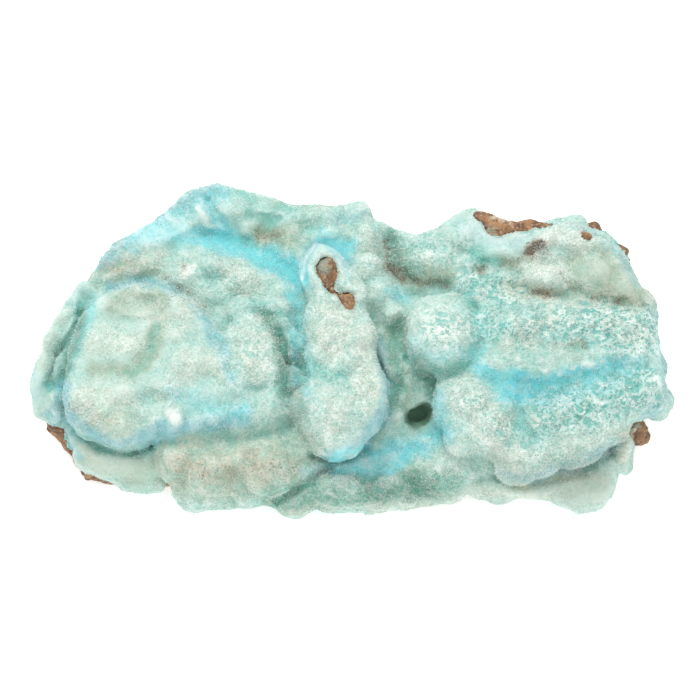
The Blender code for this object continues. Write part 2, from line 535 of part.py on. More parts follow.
def crust_form(voxel):
    """The crust before it is seated on the rock, with every lobe, knob, crease and pit."""
    bm = bmesh.new()
    for pad in PADS.values():
        add_pad(bm, *pad)
    for knobs in KNOBS.values():
        for knob in knobs:
            add_knob(bm, *knob)
    crust = object_from(bm, "aragonite_crust")
    remesh(crust, voxel)
    smooth(crust, 3)
    warp(crust, 7.0, 0.9)
    bm = bmesh.new()
    for pit in PITS.values():
        add_bore(bm, *pit)
    pits = object_from(bm, "pits")
    remesh(pits, PIT_VOXEL)
    warp(pits, 1.9, 0.6)
    cut(crust, pits, "pits")
    bpy.data.objects.remove(pits)
    remesh(crust, voxel)
    smooth(crust, 2)
    carve_creases(crust)
    grow_nodules(crust, 4.5, 0.9, SEED)
    smooth(crust, 1)
    return crust


def rock_form(voxel):
    bm = bmesh.new()
    for pad in ROCK_PADS.values():
        add_pad(bm, *pad)
    for knob in ROCK_KNOBS:
        add_knob(bm, *knob)
    rock = object_from(bm, "matrix_rock")
    remesh(rock, voxel)
    smooth(rock, 2)
    warp(rock, 3.2, 0.7)
    smooth(rock, 1)
    return rock


def above_floor(target, floor):
    """Cuts the shape off flat at this height."""
    bm = bmesh.new()
    bm.from_mesh(target.data)
    everything = bm.verts[:] + bm.edges[:] + bm.faces[:]
    cut_line = bmesh.ops.bisect_plane(
        bm, geom=everything, plane_co=(0, 0, floor), plane_no=(0, 0, 1), clear_inner=True
    )["geom_cut"]
    rim = [e for e in cut_line if isinstance(e, bmesh.types.BMEdge)]
    bmesh.ops.edgenet_fill(bm, edges=rim)
    bm.normal_update()
    bm.to_mesh(target.data)
    bm.free()


def grown(source, amount):
    """A copy of the shape whose skin stands this much further out."""
    made = source.copy()
    made.data = source.data.copy()
    bpy.context.scene.collection.objects.link(made)
    set_points(made.data, points_of(made.data) + amount * normals_of(made.data))
    return made


def paint(target, name, color, roughness):
    material = bpy.data.materials.new(name)
    material.use_nodes = True
    shader = material.node_tree.nodes["Principled BSDF"]
    shader.inputs["Base Color"].default_value = (*color, 1.0)
    shader.inputs["Roughness"].default_value = roughness
    target.data.materials.clear()
    target.data.materials.append(material)


def settle(target, shift):
    """Moves the finished shape to its place and turns millimetres into metres."""
    set_points(target.data, (points_of(target.data) + shift) * MM)


def aragonite_crust(rock):
    crust = crust_form(VOXEL)
    thin_out(crust, CRUST_TRIANGLES)
    above_floor(crust, CRUST_FLOOR)
    seat = grown(rock, BED_GAP)
    cut(crust, seat, "seat")
    bpy.data.objects.remove(seat)
    keep_largest_island(crust)
    paint(crust, "blue_aragonite", (0.42, 0.72, 0.72), 0.75)
    return crust


def matrix_rock():
    rock = rock_form(ROCK_VOXEL)
    thin_out(rock, ROCK_TRIANGLES)
    above_floor(rock, 0.0)
    keep_largest_island(rock)
    paint(rock, "brown_rock", (0.25, 0.14, 0.08), 0.85)
    return rock


def main():
    for old in list(bpy.data.objects):
        bpy.data.objects.remove(old)
    rock = matrix_rock()
    crust = aragonite_crust(rock)
    everything = np.concatenate([points_of(crust.data), points_of(rock.data)])
    middle = (everything.min(0) + everything.max(0)) / 2
    shift = np.array((-middle[0], -middle[1], -everything[:, 2].min()))
    for made in (crust, rock):
        settle(made, shift)
        made.data.validate()


if __name__ == "__main__":
    main()
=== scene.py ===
"""Builds the finished look of a blue aragonite specimen around its CAD frame.

The forms are read off the specimen as it is seen from the front, 65 degrees above the table.
A place is (across, up) on that view, in millimetres from its middle, with a height above the table.
"""

import math

import bmesh
import bpy
import numpy as np
from bpy.props import FloatProperty, FloatVectorProperty, IntProperty, PointerProperty
from bpy.types import Operator, Panel, PropertyGroup
from mathutils import Matrix, Vector, noise
from mathutils.kdtree import KDTree


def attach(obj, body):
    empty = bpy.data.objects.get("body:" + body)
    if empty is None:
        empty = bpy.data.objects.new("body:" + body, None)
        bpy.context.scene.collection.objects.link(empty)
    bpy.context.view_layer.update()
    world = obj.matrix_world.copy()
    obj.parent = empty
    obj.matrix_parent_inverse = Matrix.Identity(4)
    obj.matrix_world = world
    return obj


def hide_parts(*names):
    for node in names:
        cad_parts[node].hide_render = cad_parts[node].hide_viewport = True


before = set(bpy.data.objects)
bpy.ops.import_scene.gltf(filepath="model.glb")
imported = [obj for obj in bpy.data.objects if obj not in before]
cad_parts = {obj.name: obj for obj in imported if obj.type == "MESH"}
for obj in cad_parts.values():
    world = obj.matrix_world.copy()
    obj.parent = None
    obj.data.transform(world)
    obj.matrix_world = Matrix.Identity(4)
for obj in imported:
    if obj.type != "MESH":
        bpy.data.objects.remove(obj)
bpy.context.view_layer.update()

bl_info = {
    "name": "Blue Aragonite Specimen",
    "version": (1, 0, 0),
    "blender": (4, 5, 0),
    "location": "3D View > Sidebar > Specimen",
    "description": "Builds a hand specimen of blue aragonite with its velvet of crystals",
    "category": "Add Mesh",
}


MM = 0.001
VIEW_TILT = math.radians(65)
VIEW_HEIGHT = 13.0  # a point this high over the table's origin is seen at the view's middle
VIEW_DISTANCE = 1.4
VIEW_WIDTH = 0.13004
VIEW_OFFSET = (1 / 700, 2 / 700)  # the forms' middle lies right of and above the picture's
SENSOR = 36.0
CENTRING = (-0.2098, -0.9872, 0.0)  # from the forms' middle to the CAD box's, in millimetres
SEED = 7
WARP_OFFSETS = ((0.0, 0.0, 0.0), (31.4, 7.1, 12.9), (5.3, 47.7, 23.2))

PIT_VOXEL = 0.4
ROCK_VOXEL = 0.9
PIECE_TRIANGLES = 195000
# how strongly the gaps between threads on the nap are darkened, partly a painted shade
NAP_GRAIN_DEPTH = 0.2
CRUST_FLOOR = 0.4
LOWEST_KNOB = 0.8
SEAT_GAP = 0.05

TABLE_HALF = 3.0
TABLE_DROP = 0.0001
SKY_STRENGTH = 0.65
FLOOR_GLOW = 0.45
# name, place, width and power
LAMPS = (
    ("back_softbox", (-0.25, 0.55, 0.95), 0.8, 7.2),
    ("front_softbox", (0.15, -0.65, 1.15), 1.0, 3.9),
)

# Painted shade inside the deep hole: its stroke, and the height of the mouth below which its walls take the
# dark green.
CAVE_SHADE = (1.0, 2.6, [(12.4, -11.6), (12.9, -12.9)])  # the stroke that darkens the deep hole
CAVE_MOUTH = 14.5
ROCK_SHOWN = 4.0  # lower than this, the rock's colours are its own
TINT_WARPS = ((0.8, 3.4), (0.4, 1.1))  # how far the tints' edges wander, and over what length
DRIFT_SIZE = 9.0  # the width of the drifts of tint on the sides that face away, in millimetres
ROCK_DRIFT_SIZE = 7.0
# how rare each tint is on the sides that face away from the view; a higher number is rarer
WILD_SHARE = {
    "sky": 0.5, "teal": 0.2, "cream": 0.3, "sage": -0.1, "powder": 0.2, "sand": 0.6, "moss": 0.5,
    "stain": 0.7, "dim": 0.6, "lace": 0.2, "ice": 1.5, "smooth": 0.1,
}

# how many bumps of each noise there are to the metre
FRAY_SCALE = 260.0
MOTTLE_SCALE = 430.0
GRAIN_SCALE = 1300.0
SPECK_SCALES = ((1300.0, 0.5, "Stain"), (2600.0, 0.55, "Umber"))  # scale, share shown and tint
ROCK_SCALES = (240.0, 900.0, 2600.0)
ROCK_GRAIN_SCALE = 2200.0

# the tints of the ground in the order they are laid, with where each fades in and is full
GROUND = (
    ("sage", 0.1, 0.8), ("sand", 0.1, 0.9), ("teal", 0.15, 0.85), ("powder", 0.2, 0.75),
    ("cream", 0.15, 0.8), ("sky", 0.15, 0.85),
)

# name: (top, thickness, rim radius, crown, outline)
PADS = {
    "body": (
        13.0, 11, 3.5, 1.0,
        [(-57.4, -5), (-55.5, 2), (-50, 9), (-44, 17), (-36, 22), (-30, 26), (-24, 28.4), (-14, 26),
         (-4, 24), (3, 24.6), (10, 19.5), (17, 21), (22, 23), (24, 19), (31, 18), (38, 20), (44, 19),
         (50, 15), (55, 8), (57.5, 0), (58, -7), (54, -11), (49, -15), (45, -20), (36, -23),
         (27, -23), (18, -23.6), (8, -25), (-4, -25), (-14, -24.8), (-24, -24.4), (-34, -22),
         (-42, -18.8), (-47.6, -17.2), (-52.4, -12.4)],
    ),
    "back_left": (
        17.6, 12, 3.0, 1.0,
        [(-50.5, 4), (-48, 10), (-43, 14.5), (-36, 18.5), (-30, 22), (-22, 24), (-12, 23), (-3, 22),
         (4, 21.5), (5, 15), (5, 5), (-2, -4), (-8, -12), (-18, -12), (-34, -10), (-46, -10),
         (-52, -6)],
    ),
    "right_bed": (
        17.2, 8, 3.0, 0.6,
        [(9, 18), (20, 20), (36, 18), (50, 14), (54.6, 7), (56, -2), (44, -4), (24, -4), (14, 2),
         (9, 8)],
    ),
    "centre_bed": (
        16.6, 8, 2.5, 0.4,
        [(3, 18), (9, 17), (13, 10), (13, -3), (9, -5.6), (4, -1), (2, 8)],
    ),
    "left_lobe": (
        21.8, 9, 3, 1.2,
        [(-53, -7), (-52, 0), (-49.5, 6), (-45, 10), (-40, 11.8), (-35, 11), (-30, 9), (-26, 5.5),
         (-23, 1), (-20, -5), (-15, -8), (-11.5, -12), (-15, -14.5), (-22, -15.4), (-29, -15),
         (-36, -16), (-41, -17.3), (-46, -16.4), (-50, -14.4), (-52.5, -11.4)],
    ),
    "middle_lump": (
        23.4, 9, 2.5, 1.2,
        [(-23, 3), (-20, 5.5), (-16, 4.5), (-13.5, 1.5), (-12.4, -3), (-13, -7), (-17, -7.5),
         (-21, -5), (-23.5, -1)],
    ),
    "front_lobe": (
        18.2, 12, 5.0, 0.8,
        [(-36, -18.5), (-36, -21.8), (-31, -24.8), (-24, -26), (-17, -25.4), (-12, -24.4),
         (-8, -23), (-4.5, -21.4), (-5.5, -19), (-9, -15), (-15, -13.5), (-23, -15), (-30, -15.5)],
    ),
    "column": (
        24.5, 9, 2.5, 1.2,
        [(-8, 8), (-5.5, 10), (0, 9), (3, 7), (4.5, 3), (4.4, -1), (5.6, -4.5), (6.9, -9),
         (6, -12.3), (3.8, -14.5), (2.4, -17), (0, -18.6), (-4, -18.8), (-7, -17), (-9, -13),
         (-8, -6), (-8.5, 1)],
    ),
    "window_hood": (
        25.0, 8, 2.0, 0.4,
        [(-9, 12), (-8.6, 16), (-6.6, 19.6), (-3.6, 18.9), (-1.2, 16.6), (1.2, 13.5), (2.6, 10),
         (0, 7), (-5, 7.4)],
    ),
    "boss": (
        22.4, 9, 3.0, 1.5,
        [(9.9, 3), (10.7, 7.2), (14, 9.7), (19, 9.9), (22.9, 6.7), (23.1, 0.8), (19.8, -3.4),
         (14.4, -4.1), (11.1, -1)],
    ),
    "right_field": (
        20.5, 8, 2.8, 1.2,
        [(21, 9.5), (28, 10.6), (34, 9.3), (40, 8), (48, 7), (55, 6), (57.6, 0), (58.4, -6),
         (57, -10), (52, -12.6), (50.6, -15.0), (44.6, -18.4), (38, -20.0), (33, -21.2), (29, -21.6),
         (25.5, -19.4), (20, -17.4), (16.8, -15), (15.2, -12), (15.4, -8), (17, -4)],
    ),
    "shelf": (
        8.6, 4.4, 1.6, 0.4,
        [(28, -24), (34, -22), (42, -20), (47, -19.6), (49.2, -21.8), (48.3, -26), (46.4, -29.6),
         (43.5, -30.4), (39, -28.8), (34, -27.4), (29, -27)],
    ),
    "back_ridge": (
        18.8, 10, 3.0, 1.0,
        [(-47.2, 14.8), (-44, 19.4), (-37, 23.2), (-32, 27.6), (-26, 30.5), (-22, 30), (-15, 27.6),
         (-4, 26), (2.6, 27.8), (4.2, 23.6), (2, 19), (-8, 21), (-18, 22), (-27, 20), (-36, 15),
         (-43, 12.5)],
    ),
    "right_back": (
        17.8, 9, 2.8, 1.0,
        [(4, 23.6), (9, 21.8), (13, 21.2), (20, 24.8), (23.4, 25.6), (25, 23.4), (25.6, 21.6),
         (27.6, 21.2), (31.4, 22.0), (34.5, 22.5), (37.4, 23.6), (43, 24.6), (44.8, 22.6), (48.4, 20.9),
         (51.4, 17.6), (53, 12.5), (48, 9), (36, 10), (22, 12), (12, 13), (5, 16)],
    ),
}

# group: (across, up, top, half across, half up, half height, turn in degrees)
KNOBS = {
    "left_lobe": [
        (-46, 1.8, 23.6, 4.8, 3.6, 5, 20), (-40.5, 0.6, 23.6, 3.6, 3.2, 5, 0),
        (-45.4, 8, 22.8, 2.2, 2.6, 4, -20), (-38.6, 10.6, 22.7, 6, 1.4, 4, 0),
        (-32, 7.6, 23.4, 3, 3, 4, 20), (-33, 2.6, 23.8, 3, 2.6, 4, 0),
        (-29.5, -2, 24.6, 6, 3.6, 5, 8), (-49, -7.5, 23.3, 4, 4.4, 5, 0),
        (-42.5, -8, 23.8, 4.4, 3.4, 5, 0), (-47.5, -12.2, 22.8, 4, 3.2, 4, -20),
        (-42, -13.6, 22.6, 5.4, 3, 4, 5), (-33, -7, 23.6, 3.4, 2.2, 4, 0),
        (-32.6, -12.4, 24.0, 1.9, 2, 4, 0), (-25, -7.5, 23.4, 5, 2.8, 4, -12),
        (-27, -12.6, 22.6, 5.5, 2.3, 4, 5), (-18.5, -10.6, 22.2, 5.5, 2.8, 4, -15),
        (-37, -12, 22.6, 3, 3, 4, 0),
        (-30, -14, 20.6, 6, 2, 4, 0), (-21, -13.6, 20.2, 6, 2.4, 4, -4),
    ],
    "middle_lump": [
        (-18.3, -0.6, 24.7, 4.6, 5.6, 5, 0), (-24, -1.5, 24.3, 3.2, 3.8, 4, 0),
        (-21.6, -5.6, 24.0, 3.4, 2.4, 4, -10), (-20, 13.5, 21.5, 4, 3, 5, 0),
        (-25, 16.2, 21, 3.8, 2.4, 5, 0), (-25.5, 11, 20.8, 4, 3.2, 5, 0),
        (-20, 8.2, 22.8, 4.4, 2.8, 5, 0), (-14.5, 8.5, 21.6, 3.4, 3, 5, 0),
        (-18.6, 5.6, 23.6, 4.4, 3, 5, 0), (-13.4, 5, 22.4, 2.4, 2.6, 4, 0),
        (-31, 14, 20.4, 3.4, 2.2, 5, 0), (-10.9, 1.5, 22.2, 2.2, 3.4, 4, 0),
        (-10.8, -5, 22.8, 2, 3, 4, 0), (-9, -9.6, 23.6, 2.6, 3.4, 4, 0),
        (-14.6, -8.2, 22.6, 3, 2.6, 4, -20),
    ],
    "front_lobe": [
        (-32, -19.4, 19, 3.8, 3, 5, 0), (-26.5, -20.9, 19, 4.4, 4, 5, 0),
        (-21.5, -19.4, 19.5, 3.2, 2.8, 4, 0), (-15, -20.9, 20, 5.4, 4.2, 5, 0),
        (-28, -24, 14.6, 5, 3, 6, 0), (-18, -23.8, 15, 4.6, 2.6, 6, 0),
        (-24, -25.8, 8.6, 6, 1.8, 5, 0), (-10, -18.2, 18.5, 3.6, 3, 4, 0),
        (-9.5, -21.6, 17, 3.6, 2.2, 4, 30),
    ],
    "column": [
        (-3, 3.5, 26.8, 5.4, 4.5, 5, 0), (-3.8, -4, 26.4, 3.6, 3, 4, 0),
        (-3.4, -10.5, 26.3, 6, 5, 5, 0), (2.6, -5.5, 26.2, 3.4, 4, 4, 0), (-3, -15.2, 24.6, 4, 3, 5, 0),
        (2.6, -10.8, 25.6, 3.2, 3, 4, 0), (1.4, 2, 26, 3, 3, 4, 0),
        (2.4, 16, 21.8, 3.4, 3, 5, 0), (2.6, 21.6, 20.4, 3.2, 3.4, 5, 0),
        (5.5, 11.6, 20.6, 4, 3.2, 5, 0), (8, 7.4, 19.6, 2.8, 3, 5, 0),
    ],
    "boss": [
        (16.6, 3.1, 25.0, 6.3, 6.0, 5, 0), (14, 16.8, 19.6, 6.2, 4, 6, 0),
        (18.5, 13.4, 17.6, 5, 2.2, 5, 0), (9, -9.5, 15.4, 2.6, 5, 6, -10),
        (7.5, -2, 17.4, 2.2, 4, 6, 0), (10.4, -5, 16.4, 2.4, 2.6, 6, 0),
    ],
    "right_back": [
        (21, 21.6, 20.4, 4.2, 3.2, 5, 20), (28.4, 18.2, 20.6, 4.8, 1.9, 5, -5),
        (36.4, 21, 20.8, 3.4, 1.8, 5, 25), (41, 20.6, 21, 4.6, 2.8, 5, 0),
        (36, 14, 21.2, 4.4, 2.8, 5, 0), (28, 13, 18.8, 5, 2.3, 5, 0),
        (22, 16.4, 18.8, 3.2, 3, 5, 0), (45, 15, 20, 5, 4, 6, 0), (50, 13, 18.2, 4, 4, 6, 0),
        (46.6, 20.1, 20.4, 2.6, 2.0, 5, -30), (49.6, 16.2, 18.8, 2.6, 1.8, 5, -40),
        (40.8, 23.0, 20.4, 3.8, 1.3, 4, 0),
        (53.6, 9, 15.4, 3.4, 4, 6, 0), (29.5, 16, 18.4, 3, 1.8, 4, 0),
    ],
    "right_field": [
        (26, 6.4, 22, 4.2, 3, 4, 0), (33, 5, 23, 5, 3.6, 5, 0), (42, 5, 22.4, 4.8, 2.8, 5, 0),
        (50.5, 3.5, 21.4, 5.2, 3.8, 5, 0), (29, -1.4, 22.6, 6, 2.4, 5, 8), (22, -8, 23.2, 4.8, 4.4, 5, 0),
        (26, -13.4, 22.8, 5, 4, 5, 0), (36, -12, 22.2, 5.4, 3.6, 5, 0),
        (45.5, -11.5, 21.2, 4.8, 3.4, 5, 0), (54, -7.6, 19.6, 4.6, 3.2, 5, 0),
        (34, -18.0, 21, 6, 3.2, 5, 10), (42, -16.0, 20, 5.2, 2.8, 5, 20),
        (30.4, -20, 19.2, 3.8, 2.4, 5, 0), (20.6, -14.2, 21, 3.8, 3.2, 5, 0),
        (43, -3.8, 21.8, 3.6, 1.2, 3, 15), (57.6, -8.3, 14.6, 2.6, 3.1, 5, 0),
        (50.6, -17.0, 11.0, 2.4, 2.6, 5, 10), (50.6, -19.6, 8.4, 2.0, 2.2, 4, 10),
    ],
    "front_floor": [
        (18, -21, 14.6, 6.4, 3.2, 6, 10), (-10.5, -25, 13.4, 4.4, 3, 6, 0),
        (-2, -24, 15.2, 5.6, 3, 6, 0), (7, -24.2, 14, 4.6, 2.6, 6, 0), (13.6, -17, 14, 2.8, 1.6, 4, 0),
        (26.6, -24.8, 9.6, 4.6, 1.8, 4, 0), (2, -27, 7, 8, 1.8, 4, 0), (14, -25.8, 8, 6, 1.6, 4, 10),
        (-9, -27.4, 6.5, 4, 1.4, 4, 0), (-12, -25.4, 11.6, 3.4, 2.4, 5, 0),
        (-4.6, -25.4, 12.2, 3.6, 2.4, 5, 0),
        (3, -25.2, 12, 3.4, 2.4, 5, 0), (9.6, -25.2, 11.4, 3.4, 2.4, 5, 0), (17.4, -24, 11.6, 4, 2, 5, 0),
    ],
    "left_wall": [
        (-44, -18.4, 13.4, 8, 3, 8, -8), (-37.5, -19, 13.2, 4, 3.2, 8, 0),
        (-39.5, -22.6, 8.4, 5.4, 2.4, 4, -6), (-54.4, -10.2, 10.6, 3, 2.4, 6, 0),
        (-57.4, -8.4, 13.4, 2.2, 1.9, 5, 0), (-50, -15.2, 9.8, 3.4, 2.4, 7, -30),
    ],
    "left_fold": [
        (-49.8, 11.9, 18.2, 2.6, 2, 7, -30), (-51.6, 9.8, 17.4, 2, 2.2, 7, 0),
        (-53.4, 6.6, 17.8, 2, 2.8, 7, -25), (-55.6, 2.6, 17.6, 2, 3, 7, -25),
        (-57.2, -1.6, 16.8, 1.9, 3, 7, -15), (-57.8, -5.2, 15.8, 2, 2.6, 6, 0),
        (-50.2, 8.2, 17.8, 1.8, 1.9, 6, 0), (-51.4, 4, 17.6, 2.2, 4, 6, -15),
        (-53.6, -2.6, 17.0, 2.2, 4, 6, -15), (-54.6, -8, 15.4, 2, 3, 6, 0),
    ],
    "back_ridge": [
        (-42, 17.4, 19.6, 4.8, 3.2, 6, 30), (-46.4, 14, 17.6, 3, 3, 6, 40),
        (-37, 19.4, 19, 4.8, 2.8, 6, 20),
        (-33, 23.6, 19.4, 4, 2.8, 6, 30), (-28.4, 25.2, 20.6, 1.6, 3.4, 4, 35),
        (-31, 27, 18.4, 3, 2, 6, 30), (-25.5, 28.2, 19, 3.6, 2, 6, 0), (-21.4, 25.6, 19.6, 4, 3, 6, 0),
        (-16.6, 26, 19.4, 4, 2.6, 6, -10), (-10.5, 24.8, 19.4, 4.6, 2.2, 6, -5),
        (-3, 24.2, 19.4, 4.4, 2, 6, 0), (2.0, 26, 19.8, 2.6, 2.4, 6, 0), (-9.6, 21.8, 18.8, 4, 2, 5, 0),
        (-31, 17.2, 19.8, 4, 2.4, 5, 0), (-42, 14.4, 20.8, 4.6, 2, 5, 12),
        (-18.4, 22.4, 18.8, 4, 2.2, 5, 0),
        (-23.6, 22.8, 18.8, 3.4, 2, 5, -10), (-12, 22.4, 19.6, 5, 2.6, 5, 0),
        (-4, 21.6, 19.8, 4.4, 2.4, 5, 0),
        (-37.6, 16, 20.4, 3, 2.2, 4, 0),
    ],
    "back_wall": [
        (-45, 13, 10, 5, 4, 7, 30), (-35, 20, 9, 6, 4, 7, 20), (-22, 25.6, 9.6, 7, 3.4, 8, 0),
        (-8, 23.4, 8.6, 6, 3, 7, 0), (3, 22, 10, 4.6, 3, 7, 0), (17, 20.4, 9.4, 6, 3, 7, 10),
        (33, 18.6, 8.4, 7, 3, 6, 0), (45, 15.6, 10, 5, 4, 7, -20), (54.4, 6, 9.4, 3, 5, 7, 0),
        (56.5, -3, 9, 2.4, 4, 6, 0),
    ],
}

# name: (depth, half width, places along it)
CREASES = {
    "fold": (1.4, 0.6, [(-50.2, 8), (-50.6, 5), (-52.6, 1.4), (-54.6, -1.6), (-56, -6.4)]),
    "blue_channel": (2.6, 2.2, [(-27, 21.4), (-22, 20), (-17.5, 18), (-13, 15.4), (-9.8, 12.6)]),
    "back_cleft": (1.8, 0.9, [(-26.6, 27.4), (-25, 24.6), (-22.6, 21.6)]),
    "lobe_back": (0.5, 0.9, [(-46, 12), (-41, 13.4), (-36, 13.2), (-31, 10.3), (-26.6, 7.6), (-24, 3.4)]),
    "dark_valley": (2.8, 1.9, [(7.4, 20), (7.4, 17), (9, 14), (12, 12.2), (17.6, 11.5)]),
    "green_valley": (1.1, 1.5, [(-35.6, 3.9), (-36.6, 0.4), (-38.8, -2.8)]),
    "valley_foot": (0.5, 1.3, [(-38.8, -2.8), (-42.4, -5), (-47.2, -4.6)]),
    "dish_edge": (0.8, 0.7, [(-44.6, 7), (-42.4, 5.5), (-38.6, 5.0), (-35.4, 6.0), (-33.6, 8.4)]),
    "field_top": (1.6, 1.2, [(28, 11.8), (34, 10.4), (42, 9.6), (50.4, 8), (54, 7.6)]),
    "sky_valley": (1.8, 2.2, [(27, -6.4), (33, -7), (39, -6.6), (45, -5), (51, -3.6), (54, -4.6)]),
    "column_left": (1.2, 1.2, [(-10, 6), (-9.2, 0), (-9.6, -5), (-9.4, -10), (-8.6, -15), (-6, -18)]),
    "column_waist": (1.1, 1.4, [(-8.6, -2.2), (-6, -4.2), (-2, -5.2), (1.6, -4.8), (5, -3.8)]),
    "column_end": (2.6, 0.8, [(-7, -19.8), (-4, -20.6), (-0.6, -20.2), (2.4, -18.8)]),
    "lump_right": (0.6, 0.7, [(-13.4, 3.4), (-12.4, 0), (-12, -3), (-11.8, -6)]),
    "lump_left": (0.4, 0.8, [(-24, 0.6), (-23.2, -4), (-20, -7), (-15, -8.2)]),
    "wedge": (1.3, 1.3, [(8.8, 5), (7.8, 1), (7.4, -2.4)]),
    "left_lip": (1.0, 0.8, [(-51.4, -15.6), (-48, -17.8), (-44, -19.2), (-40, -19.4), (-36.4, -18)]),
    "front_seam": (0.6, 0.9, [(-36, -20.6), (-35, -17.6), (-28, -16.9), (-21, -17.2), (-15, -16),
                              (-11, -14)]),
    "front_right_lip": (2.2, 0.8, [(-14, -28.4), (-11, -26.4), (-7, -23.6), (-4, -22)]),
    "field_slit": (1.4, 0.9, [(31, -9), (31, -13), (33.4, -16.4)]),
    "field_lip": (1.0, 0.9, [(27.6, -24), (32, -26), (37, -24.6), (44, -22.6), (49.4, -19)]),
    "boss_foot": (1.2, 0.8, [(10.4, -2), (14, -5), (18.6, -5), (22.4, -2.6), (24, 1.6)]),
    "right_notch": (0.8, 0.7, [(49, -15.4), (52, -13.9), (56, -13)]),
}

# name: (depth, across, up, half across, half up)
DISHES = {
    "lobe_dish": (1.6, -39.2, 8.2, 5.4, 2.6),
    "back_dish": (1.6, -15, 21.4, 3.6, 1.6),
    "rim_dish": (1.2, 24, 14.4, 1.6, 1.4),
    "edge_dish": (1.2, 50.6, 8.6, 2.2, 1.4),
    "top_dish": (1.2, 42, 11, 1.6, 1.0),
    "front_dish": (1.4, -36.5, -9.6, 2.2, 1.8),
}

# name: (across, up, height of the mouth, half across, half up, depth, turn)
PITS = {
    "cave": (12.7, -12.3, 14.4, 3.2, 1.9, 7.0, 32),
    "cave_foot": (13.6, -12.8, 14.4, 1.6, 1.8, 6.0, 0),
    "cave_lip": (14.0, -7.0, 19.0, 1.3, 3.4, 3.6, 0),
    "brown_pit": (34.8, 18.5, 20.6, 1.7, 1.3, 1.5, 0),
    "window": (-4.3, 15.0, 25.8, 2.6, 3.0, 3.4, 10),
    "window_neck": (-4.0, 12.0, 25.6, 1.6, 2.7, 3.2, 10),
    "window_bridge": (-2.6, 10.5, 25.8, 1.4, 0.8, 3.0, -20),
    "window_foot": (-0.8, 9.9, 25.8, 1.9, 0.8, 3.0, 0),
    "window_tip": (-1.1, 9.2, 25.8, 0.9, 1.2, 3.0, 0),
    "edge_spot": (43.8, 21.2, 21.0, 1.5, 1.3, 3.4, 0),
}

ROCK_PADS = {
    "slab": (
        5.6, 5.6, 1.4, 0.5,
        [(-56.3, -12), (-54, 0), (-48, 9), (-40, 15), (-30, 21), (-18, 22), (-4, 20), (8, 16),
         (20, 18), (30, 20), (40, 19), (48, 15), (53, 6), (54, -6), (53, -13), (46, -18), (34, -22.4),
         (25, -24.3), (12, -25.4), (-4, -25), (-18, -25), (-30, -25), (-40, -23.4), (-45, -24.0),
         (-49.0, -23.6), (-51.2, -20.6), (-52.8, -17.4), (-56.5, -14.2)],
    ),
    "back_shelf": (
        18.0, 15, 1.0, 0.3,
        [(22.6, 24.4), (24.2, 25.5), (27, 24.9), (30, 23.5), (34, 23.7), (37, 23.2), (40, 22.0),
         (44, 18), (36, 17.5), (28, 16), (23, 19)],
    ),
    "corner_shelf": (
        15.8, 13, 1.0, 0.3,
        [(42, 21.6), (45.0, 23.3), (47.4, 21.9), (49.6, 19.8), (51.9, 17.6), (49, 13.6), (44, 15)],
    ),
}
ROCK_KNOBS = [
    (-4.4, 14.6, 24.0, 5.0, 5.4, 12, 0), (-2, 9.6, 24.4, 5.0, 3.4, 12, 0), (-3, 12, 18, 5, 5, 17, 0),
    (-4.3, 14.9, 24.7, 3.3, 4.0, 3, 10), (-0.7, 9.4, 25.2, 2.6, 2.0, 3, 0),
    (43.8, 21.2, 20.6, 1.7, 1.4, 6, 0), (27, 22.6, 19.2, 2.6, 1.2, 4, -20),
    (32.6, 22.4, 19.0, 2.2, 0.9, 4, 10),
    (52.6, -14.2, 9.4, 3.0, 2.0, 6, 25), (54, -14.6, 7.6, 1.5, 1.8, 5, 0),
    (-52.4, -16.2, 7.2, 1.4, 1.4, 5, 20),
]


